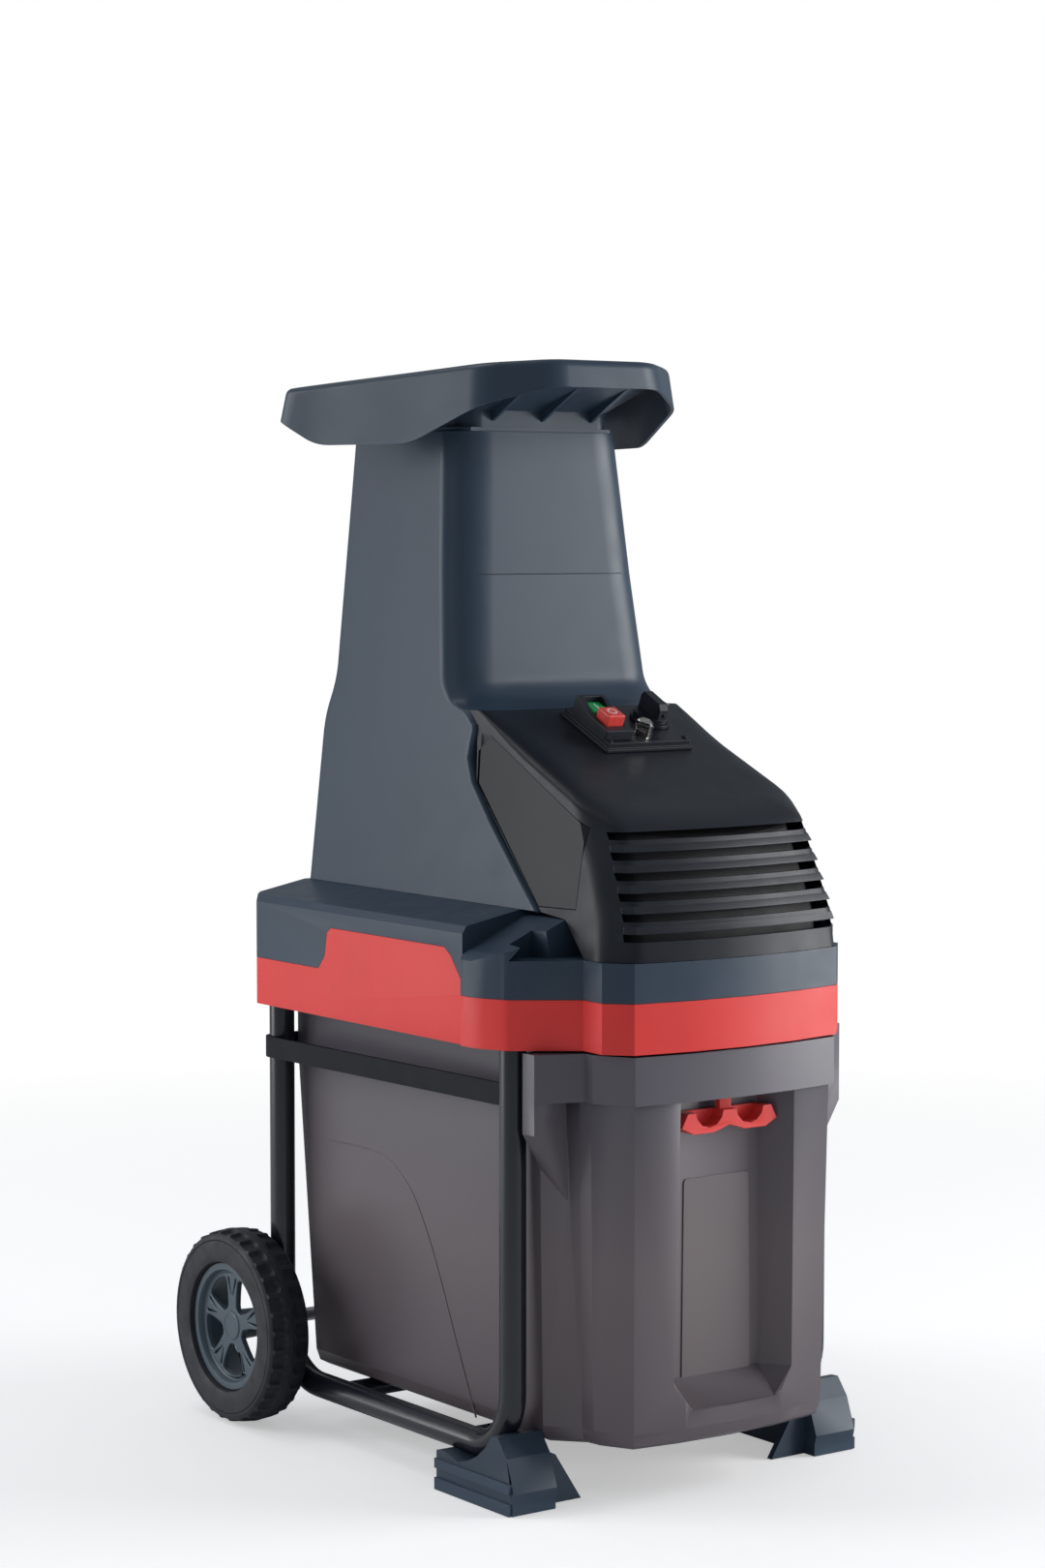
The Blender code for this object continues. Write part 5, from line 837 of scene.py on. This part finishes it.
def hood_form(shrink, steps=8):
    """The hood's outer form: soft flared sides and front, broadly rounded up to its slope."""
    drop = shrink / cos(SLOPE)
    foot = HOOD_ROWS[0][0] - (0.02 if shrink else 0.0)
    edge = []
    for i in range(len(soft_plan(foot, shrink))):
        z = EDGE_GUESS
        for _ in range(EDGE_ROUNDS):
            z = hood_slope(soft_plan(z, shrink)[i][1]) - drop
        edge.append(Vector((*soft_plan(z, shrink)[i], z)))
    wide, deep = max(p.x for p in edge), -min(p.y for p in edge)
    starts, ends = [], []
    for i, p in enumerate(edge):
        ease = min(max((EASE_START - p.y) / EASE_LENGTH, EASE_LEAST), 1.0)
        z = p.z - (HOOD_SHOULDER - shrink * 0.5) * ease
        starts.append(Vector((*soft_plan(z, shrink)[i], z)))
        reach = (HOOD_ROUNDING - shrink) * ease
        y = p.y * (1 - reach / deep)
        ends.append(Vector((p.x * (1 - reach / wide), y, hood_slope(y) - drop)))
    loops = []
    for k in range(WALL_STEPS):
        heights = [foot + (p.z - foot) * k / WALL_STEPS for p in starts]
        loops.append([(*soft_plan(z, shrink)[i], z) for i, z in enumerate(heights)])
    rounds = [bend(a, b, c, steps) for a, b, c in zip(starts, edge, ends)]
    loops += [[curve[k] for curve in rounds] for k in range(steps + 1)]
    return link_solid(loft_shape(loops))


def behind_hood_line(grow):
    """Everything behind the line where the hood meets the side mouldings."""
    line = [(y - grow, z) for y, z in ((-0.052, 0.620), (-0.055, 0.577), (-0.155, 0.478))]
    line += [(-0.158 - grow, 0.4775), (-0.190, 0.4745), (-0.220, 0.444), (-0.220, 0.40), (0.2, 0.40),
             (0.2, 0.8)]
    top_y, top_z = SLOPE_TOP
    crease = tower_half(top_z) - BEVEL_X
    back = BEVEL_Y * (0.14 - crease) / BEVEL_X
    loops = []
    for x, shift in ((-0.14, back), (-crease, 0.0), (crease, 0.0), (0.14, back)):
        foot = top_y - grow + shift
        loops.append([(x, y, z) for y, z in [(foot, 0.8), (foot, top_z)] + line])
    return link_solid(loft_shape(loops))


def louvre_lip(top, shape):
    """Raised lower edge of the slat above a slot, round the front and the chamfers."""
    rings = []
    for rise, shrink in LIP_ROWS:
        z = top + rise
        plan = inset(hood_plan(z, 0.0), shrink)
        end = Vector(plan[FRONT_STEPS]).lerp(Vector(plan[FRONT_STEPS + 1]), LIP_END)
        right = plan[:FRONT_STEPS + 1] + [tuple(end)]
        left = [(-x, y) for x, y in reversed(right[1:])]
        rings.append([shape.verts.new((x, y, z)) for x, y in left + right])
    for lower, upper in zip(rings, rings[1:] + rings[:1]):
        for i in range(len(lower) - 1):
            shape.faces.new((lower[i], lower[i + 1], upper[i + 1], upper[i]))
    for end in (0, -1):
        shape.faces.new([ring[end] for ring in rings])


def make_hood():
    """Glossy black hood with open louvres, raised slat edges and a near-black sheet inside as painted shade
    behind the slots.
    """
    above_slope = block_shape((-0.2, -0.0555, SLOPE_TOP[1] + 0.0004), (0.2, 0.1, 0.8))
    hood = hood_form(0.0)
    cutters = [hood_form(HOOD_WALL), behind_hood_line(0.0003), link_solid(above_slope)]
    for i in range(LOUVRE_COUNT):
        top = LOUVRE_TOP - i * LOUVRE_PITCH
        half = hood_half(top) - LOUVRE_END
        cutters.append(link_solid(block_shape((-half, -0.4, top - LOUVRE_GAP), (half, -0.19, top))))
    cutters.append(link_solid(prism_shape(WINDOW, -0.3, 0.3, "X")))
    mesh = smoothed(carved(hood, cutters, "MANIFOLD"), 40)
    softened(add_piece("hood_skin", mesh, "hood", "frame", ["motor_hood"]), 0.0006, 2, 35)
    lips = bmesh.new()
    for i in range(1, LOUVRE_COUNT):
        louvre_lip(LOUVRE_TOP - i * LOUVRE_PITCH, lips)
    softened(add_piece("hood_louvre_lips", mesh_from(lips, 25), "hood", "frame"), 0.0005, 2, 30)
    # Painted shade: a near-black sheet just inside the hood, so the louvre slots look dark
    mesh = carved(hood_form(0.011, 4), [hood_form(0.0125, 4), behind_hood_line(0.002)], "MANIFOLD")
    add_piece("hood_painted_shade_sheet", mesh, "dark", "frame")


# Hopper

RIM_FRONT = (-0.088, 0.928)
RIM_REAR = (0.154, 0.909)
RIM_HALF = [(0.0, -0.088), (0.052, -0.088), (0.100, -0.050), (0.122, 0.022), (0.152, 0.118), (0.165, 0.154),
            (0.158, 0.160), (0.0, 0.160)]
RIM_ROLL = 0.0065
SKIRT_HALF = [(0.0, -0.092), (0.054, -0.092), (0.104, -0.052), (0.125, 0.022), (0.155, 0.120), (0.169, 0.157),
              (0.160, 0.164), (0.0, 0.164)]
SKIRT_HEIGHTS = [0.905, 0.905, 0.890, 0.859, 0.859, 0.880, 0.882, 0.882]
NECK_ROWS = ((0.8925, 0.0030), (0.8905, 0.0035), (0.8505, 0.0035), (0.850, 0.0005), (0.888, 0.0))
FLANGE_HALF = TOWER_HALF_TOP - 0.003
FLANGE_OUTER = [(0.0, 0.003), (0.074, 0.003), (FLANGE_HALF, 0.021), (FLANGE_HALF, 0.146), (0.0, 0.146)]
FLANGE_INNER = [(0.0, 0.0055), (0.066, 0.0055), (0.0775, 0.0175), (0.0775, 0.1385), (0.0, 0.1385)]
FLANGE_LOW = 0.8703
FLANGE_HIGH = 0.8735
GUSSET = [(0.010, 0.876), (0.010, 0.905), (-0.060, 0.9205), (-0.072, 0.9185)]
GUSSET_PLACES = (-0.050, 0.002, 0.054)
GUSSET_HALF = 0.0015


def neck_half(shrink):
    x = 0.079 - shrink
    front, rear = 0.004 + shrink, 0.140 - shrink
    return [(0.0, front), (x - 0.012, front), (x, front + 0.012), (x, 0.045), (x, 0.100),
            (x, rear - 0.010), (x - 0.010, rear), (0.0, rear)]


def hopper_ring(half, heights, shrink=0.0, reach=0.014):
    """A closed line round the hopper from its right half and a height for each of its points."""
    plan = inset(both_sides(half), shrink)
    values = list(heights) + list(reversed(heights[1:-1]))
    return rounded_3d([(x, y, z) for (x, y), z in zip(plan, values)], reach, 5)


def make_hopper():
    """Funnel with a rolled rim, a soft deep skirt, a neck, a flange and gussets."""
    rim_z = [straight(RIM_FRONT, RIM_REAR, y) for x, y in RIM_HALF]

    def rim(drop, shrink):
        return hopper_ring(RIM_HALF, [z - drop for z in rim_z], shrink)

    skirt, skirt_edge, skirt_in = (hopper_ring(SKIRT_HALF, SKIRT_HEIGHTS, s) for s in (0.0, 0.0004, 0.0028))
    body_low = rim(RIM_ROLL, -0.0002)
    body_foot = [tuple(Vector(a).lerp(Vector(b), 0.06)) for a, b in zip(skirt, body_low)]
    loops = [skirt_in, skirt_edge, skirt, body_foot, body_low]
    for t in (0.4, 0.8, 1.2, pi / 2):
        loops.append(rim(RIM_ROLL - RIM_ROLL * sin(t), RIM_ROLL - RIM_ROLL * cos(t)))
    loops += [rim(0.0004, 0.0085), rim(0.0016, 0.0100)]
    loops += [hopper_ring(neck_half(shrink), [z] * 8, 0.0, 0.006) for z, shrink in NECK_ROWS]
    loops += [rim(0.010, 0.0060), rim(0.011, 0.0048)]
    shape = loft_shape(loops, closed_end_to_end=True)
    for x in GUSSET_PLACES:
        prism_shape(GUSSET, x - GUSSET_HALF, x + GUSSET_HALF, "X", shape)
    outer, inner = both_sides(FLANGE_OUTER), both_sides(FLANGE_INNER)
    sides = ((outer, FLANGE_LOW), (outer, FLANGE_HIGH), (inner, FLANGE_HIGH), (inner, FLANGE_LOW))
    loft_shape([[(x, y, z) for x, y in plan] for plan, z in sides], True, shape)
    steady(add_piece("hopper_skin", mesh_from(shape, 50), "housing", "frame", ["feed_hopper"]))


# Collecting box

BOX_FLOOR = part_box("collecting_box")[0].z
BOX_ROUNDING = 0.0055
BOX_LINE = [(0.160, 0.2510), (0.124, 0.2543), (0.044, 0.2537), (0.003, 0.2346), (-0.0205, 0.2068),
            (-0.041, 0.1690), (-0.065, 0.1157), (-0.094, 0.052)]
BOX_PANEL = [(-0.036, 0.072), (0.036, 0.072), (0.034, 0.262), (-0.034, 0.262)]
SHORT_EDGE = 0.012
STEEP_SHARE = 0.75
CORNER_ANGLE = 12


def box_side(z):
    """How far out the box's side wall lies at a height."""
    return straight((BOX_FLOOR, 0.138), (0.333, 0.143), z)


def make_box():
    """Box with rounded upright corners, an embossed line on each side and a front panel."""
    shape = packed_form("collecting_box", 0.6)
    picked = []
    for edge in shape.edges:
        rise = abs(edge.verts[0].co.z - edge.verts[1].co.z)
        steep = rise > STEEP_SHARE * edge.calc_length() and edge.calc_length() > SHORT_EDGE
        if steep and len(edge.link_faces) == 2 and edge.calc_face_angle(0.0) > radians(CORNER_ANGLE):
            picked.append(edge)
    bmesh.ops.bevel(shape, geom=picked, offset=BOX_ROUNDING, segments=4, profile=0.5,
                    affect="EDGES", clamp_overlap=True)
    skin = add_piece("box_skin", mesh_from(shape, 32), "smoke", "box", ["collecting_box"])
    softened(skin, 0.0010, 2, 30)
    for side, word in SIDES:
        path = [(side * (box_side(z) - 0.0002), y, z) for y, z in smooth_path(BOX_LINE, 6)]
        add_piece("box_line_" + word, mesh_from(swept_bar(path, 0.0008, 8), 60), "smoke", "box")
    plate = prism_shape(rounded(BOX_PANEL, 0.004), -0.2390, -0.2380, "Y")
    softened(add_piece("box_panel", mesh_from(plate, 30), "panel", "box"), 0.0003, 2)


# Controls, set on the hood's slope

SLOPE_PLACE = Matrix.Translation((0, *SLOPE_TOP)) @ Matrix.Rotation(SLOPE, 4, "X")
MARK_SINK = 0.0002
MARK_RISE = 0.00012
SCREW_PLACES = ((-0.0255, -0.0765), (0.0550, -0.0750))
SCREW_HEAD = [(0.0002, 0.0086), (0.0009, 0.0086), (0.0009, 0.0093), (0.0020, 0.0093), (0.0026, 0.0088),
              (0.0026, 0.0080), (0.0002, 0.0080)]


def on_slope(mesh):
    """Turn a mesh built in the slope's own axes into place on the hood."""
    mesh.transform(SLOPE_PLACE)
    return mesh


def top_of(node):
    """Height of a node's top above the slope, and its middle across and along the slope."""
    turn = SLOPE_PLACE.inverted()
    points = [turn @ vertex.co for vertex in frame["nodes"][node].data.vertices]
    spans = [(min(p[k] for p in points), max(p[k] for p in points)) for k in range(3)]
    return spans[2][1], (spans[0][0] + spans[0][1]) / 2, (spans[1][0] + spans[1][1]) / 2


def make_control_details():
    """A ring and a bar as marks on the two buttons, and two screws in the plate."""
    top, x, along = top_of("stop_button")
    low, high = top - MARK_SINK, top + MARK_RISE
    ring = turned("Z", (x, along), [(0.0044, low), (0.0044, high), (0.0033, high), (0.0033, low)], 32)
    add_piece("stop_mark", on_slope(mesh_from(ring)), "mark", body_of("stop_button"))
    top, x, along = top_of("start_button")
    bar = block_shape((x - 0.0006, along - 0.0042, top - MARK_SINK),
                      (x + 0.0006, along + 0.0042, top + MARK_RISE))
    add_piece("start_mark", on_slope(mesh_from(bar)), "mark", body_of("start_button"))
    for i, place in enumerate(SCREW_PLACES):
        mesh = mesh_from(turned("Z", place, SCREW_HEAD, 20))
        add_piece("plate_screw_" + str(i + 1), on_slope(mesh), "hood", "frame")


# Carrying frame

TUBE_X = 0.158
TUBE_RADIUS = 0.011
TUBE_END = 0.433
FRONT_BEND = (-0.124, 0.092, 0.050)
REAR_BEND = (0.114, 0.102, 0.060)
EYE_CENTRE = (0.1915, 0.0855)
EYE_RADIUS = 0.013
EYE_HOLE = 0.0064
EYE_HALF = 0.007
WELD_LOW = (0.176, 0.0765)
WELD_HIGH = (0.186, 0.0945)
WELD_HALF = 0.006


def make_tubes():
    """Smooth bent tubes with an axle eye welded behind each, and their cross bars."""
    for side, word in SIDES:
        x = side * TUBE_X
        front, rear = arc(*FRONT_BEND, 180, 90, 14), arc(*REAR_BEND, 270, 90, 14)
        path = [(-0.174, TUBE_END)] + front + rear + [(0.174, TUBE_END)]
        shape = swept_bar([(x, y, z) for y, z in path], TUBE_RADIUS, 28)
        add_piece("tube_" + word, mesh_from(shape, 40), "tube", "frame", ["frame_tube_" + word])
        profile = [(EYE_HOLE, x - EYE_HALF), (EYE_RADIUS, x - EYE_HALF), (EYE_RADIUS, x + EYE_HALF),
                   (EYE_HOLE, x + EYE_HALF)]
        eye = mesh_from(turned("X", EYE_CENTRE, profile, 40))
        softened(add_piece("tube_eye_" + word, eye, "tube", "frame"), 0.0008)
        arm = mesh_from(block_shape((x - WELD_HALF, *WELD_LOW), (x + WELD_HALF, *WELD_HIGH)))
        softened(add_piece("tube_weld_" + word, arm, "tube", "frame"), 0.002)
    for word in ("front", "rear"):
        low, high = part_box("cross_bar_" + word)
        y, z, radius = (low.y + high.y) / 2, (low.z + high.z) / 2, (high.z - low.z) / 2
        bar = swept_bar([(low.x, y, z), (high.x, y, z)], radius, 24)
        add_piece("bar_" + word, mesh_from(bar, 40), "tube", "frame", ["cross_bar_" + word])


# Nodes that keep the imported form: with softened edges, or only with a finish

SOFT_NODES = (("base_deck", "housing", 0.0030), ("red_band", "band", 0.0016),
              ("foot_left", "housing", 0.0012), ("foot_right", "housing", 0.0012),
              ("rear_cover", "housing", 0.0008), ("hood_window_left", "pane", 0.0006),
              ("hood_window_right", "pane", 0.0006), ("control_plate", "hood", 0.0006),
              ("switch_housing", "hood", 0.0006), ("start_button", "green", 0.0006),
              ("stop_button", "red", 0.0006), ("selector_base", "hood", 0.0004),
              ("selector_knob", "hood", 0.0005), ("box_latch", "latch", 0.0012),
              ("box_strap", "strap", 0.0006), ("adjuster_knob", "housing", 0.0008),
              ("power_inlet", "hood", 0.0005))
PLAIN_NODES = {
    "steel": ("wheel_axle", "roller_bearing_front", "roller_bearing_rear", "cutting_roller",
              "roller_gear", "pressure_plate", "adjuster_spindle", "gear_shaft_first",
              "gear_shaft_second", "motor_rotor"),
    "cast": ("cutting_chamber", "gearbox_case", "gearbox_cover", "motor_can", "motor_capacitor"),
    "hood": ("box_interlock", "cooling_fan"),
    "housing": ("feed_chute",),
    "winding": ("motor_stator",),
    "dark": ("reset_button",),
    "clear": ("reset_cap",),
}


def make_mouldings():
    for node, look, width in SOFT_NODES:
        moulding(node, look, width)
    for look, nodes in PLAIN_NODES.items():
        for node in nodes:
            paint_node(node, look)


# Camera, lights and floor

SOFTBOX_DISTANCE = 2.6
WORLD_TINT = (0.86, 0.93, 1.0, 1)
WORLD_STRENGTH = 0.30
FLOOR_LIFT = 0.42
FLOOR_FADE = (0.75, 2.2)


def make_camera():
    data = bpy.data.cameras.new("camera")
    camera = bpy.data.objects.new("camera", data)
    bpy.context.scene.collection.objects.link(camera)
    camera.location = CAMERA_PLACE
    camera.rotation_euler = (radians(90 - CAMERA_DIP), 0, radians(-CAMERA_TURN))
    data.sensor_width = SENSOR_MM
    data.lens = FOCAL_PIXELS * SENSOR_MM / PHOTO_HEIGHT
    bpy.context.scene.camera = camera


def add_softbox(name, place, target, size, power):
    data = bpy.data.lights.new(name, "AREA")
    data.shape = "RECTANGLE"
    data.size, data.size_y = size
    data.energy = power
    lamp = bpy.data.objects.new(name, data)
    lamp.location = place
    lamp.rotation_euler = (Vector(target) - Vector(place)).to_track_quat("-Z", "Y").to_euler()
    bpy.context.scene.collection.objects.link(lamp)


def make_lights():
    """Two tall softboxes square to the camera's line and a weak one overhead."""
    side = Vector((-cos(radians(CAMERA_TURN)), sin(radians(CAMERA_TURN)), 0))
    middle = Vector((0, 0, 0.55))
    for name, way, rise, size, power in (("left_softbox", 1, 0.55, (1.5, 2.4), 36),
                                         ("right_softbox", -1, 0.45, (1.4, 2.2), 64)):
        place = middle + side * way * SOFTBOX_DISTANCE + Vector((0, 0, rise))
        add_softbox(name, place, middle, size, power)
    add_softbox("top_softbox", (-0.5, 0.9, 2.9), (0, 0, 0.5), (1.2, 1.2), 9)


def make_world():
    """White where the camera looks, also through the clear cap, and an even soft light elsewhere."""
    world = bpy.data.worlds.new("studio")
    bpy.context.scene.world = world
    world.use_nodes = True
    tree = world.node_tree
    tree.nodes.clear()
    rays = tree.nodes.new("ShaderNodeLightPath")
    seen = tree.nodes.new("ShaderNodeMath")
    seen.operation = "MAXIMUM"
    tree.links.new(rays.outputs["Is Camera Ray"], seen.inputs[0])
    tree.links.new(rays.outputs["Is Transmission Ray"], seen.inputs[1])
    mix = tree.nodes.new("ShaderNodeMixShader")
    tree.links.new(seen.outputs[0], mix.inputs["Fac"])
    for socket, colour, strength in ((1, WORLD_TINT, WORLD_STRENGTH), (2, (1, 1, 1, 1), 1.0)):
        shade = tree.nodes.new("ShaderNodeBackground")
        shade.inputs["Color"].default_value = colour
        shade.inputs["Strength"].default_value = strength
        tree.links.new(shade.outputs[0], mix.inputs[socket])
    output = tree.nodes.new("ShaderNodeOutputWorld")
    tree.links.new(mix.outputs[0], output.inputs["Surface"])


def make_floor():
    """Pale floor that keeps the object's shadow and otherwise meets the white background."""
    shape = bmesh.new()
    bmesh.ops.create_grid(shape, x_segments=2, y_segments=2, size=14)
    floor = bpy.data.objects.new("floor", mesh_from(shape))
    floor.location = (0, 0, -0.0004)
    bpy.context.scene.collection.objects.link(floor)
    paint = Paint("pale_floor")
    speckle = paint.ranged(paint.noise(40.0, 3.0), 0.0, 1.0)
    paint.set("Base Color", paint.blend(speckle, (0.78, 0.78, 0.79), (0.80, 0.80, 0.80)))
    paint.set("Roughness", 0.7)
    camera_ray = paint.add("ShaderNodeLightPath").outputs["Is Camera Ray"]
    lifted = paint.add("ShaderNodeAddShader")
    paint.link(paint.shader.outputs[0], lifted.inputs[0])
    paint.link(paint.mixed(camera_ray, paint.glow(0.0), paint.glow(FLOOR_LIFT)), lifted.inputs[1])
    far = paint.add("ShaderNodeVectorMath", operation="LENGTH")
    paint.link(paint.place, far.inputs[0])
    fade = paint.ranged(far.outputs["Value"], 0.0, 1.0, *FLOOR_FADE)
    seen = paint.add("ShaderNodeMath", operation="MULTIPLY")
    paint.link(fade, seen.inputs[0])
    paint.link(camera_ray, seen.inputs[1])
    surface = paint.mixed(seen.outputs[0], lifted.outputs[0], paint.glow(1.0))
    paint.link(surface, paint.output.inputs["Surface"])
    floor.data.materials.append(paint.material)


make_camera()
make_world()
make_lights()
make_floor()
make_mouldings()
make_tower()
make_hood()
make_hopper()
make_box()
make_control_details()
make_tubes()
for side, word in SIDES:
    make_tyre(side, word)
    make_rim(side, word)

bpy.context.scene.view_settings.view_transform = "Standard"
bpy.context.view_layer.update()
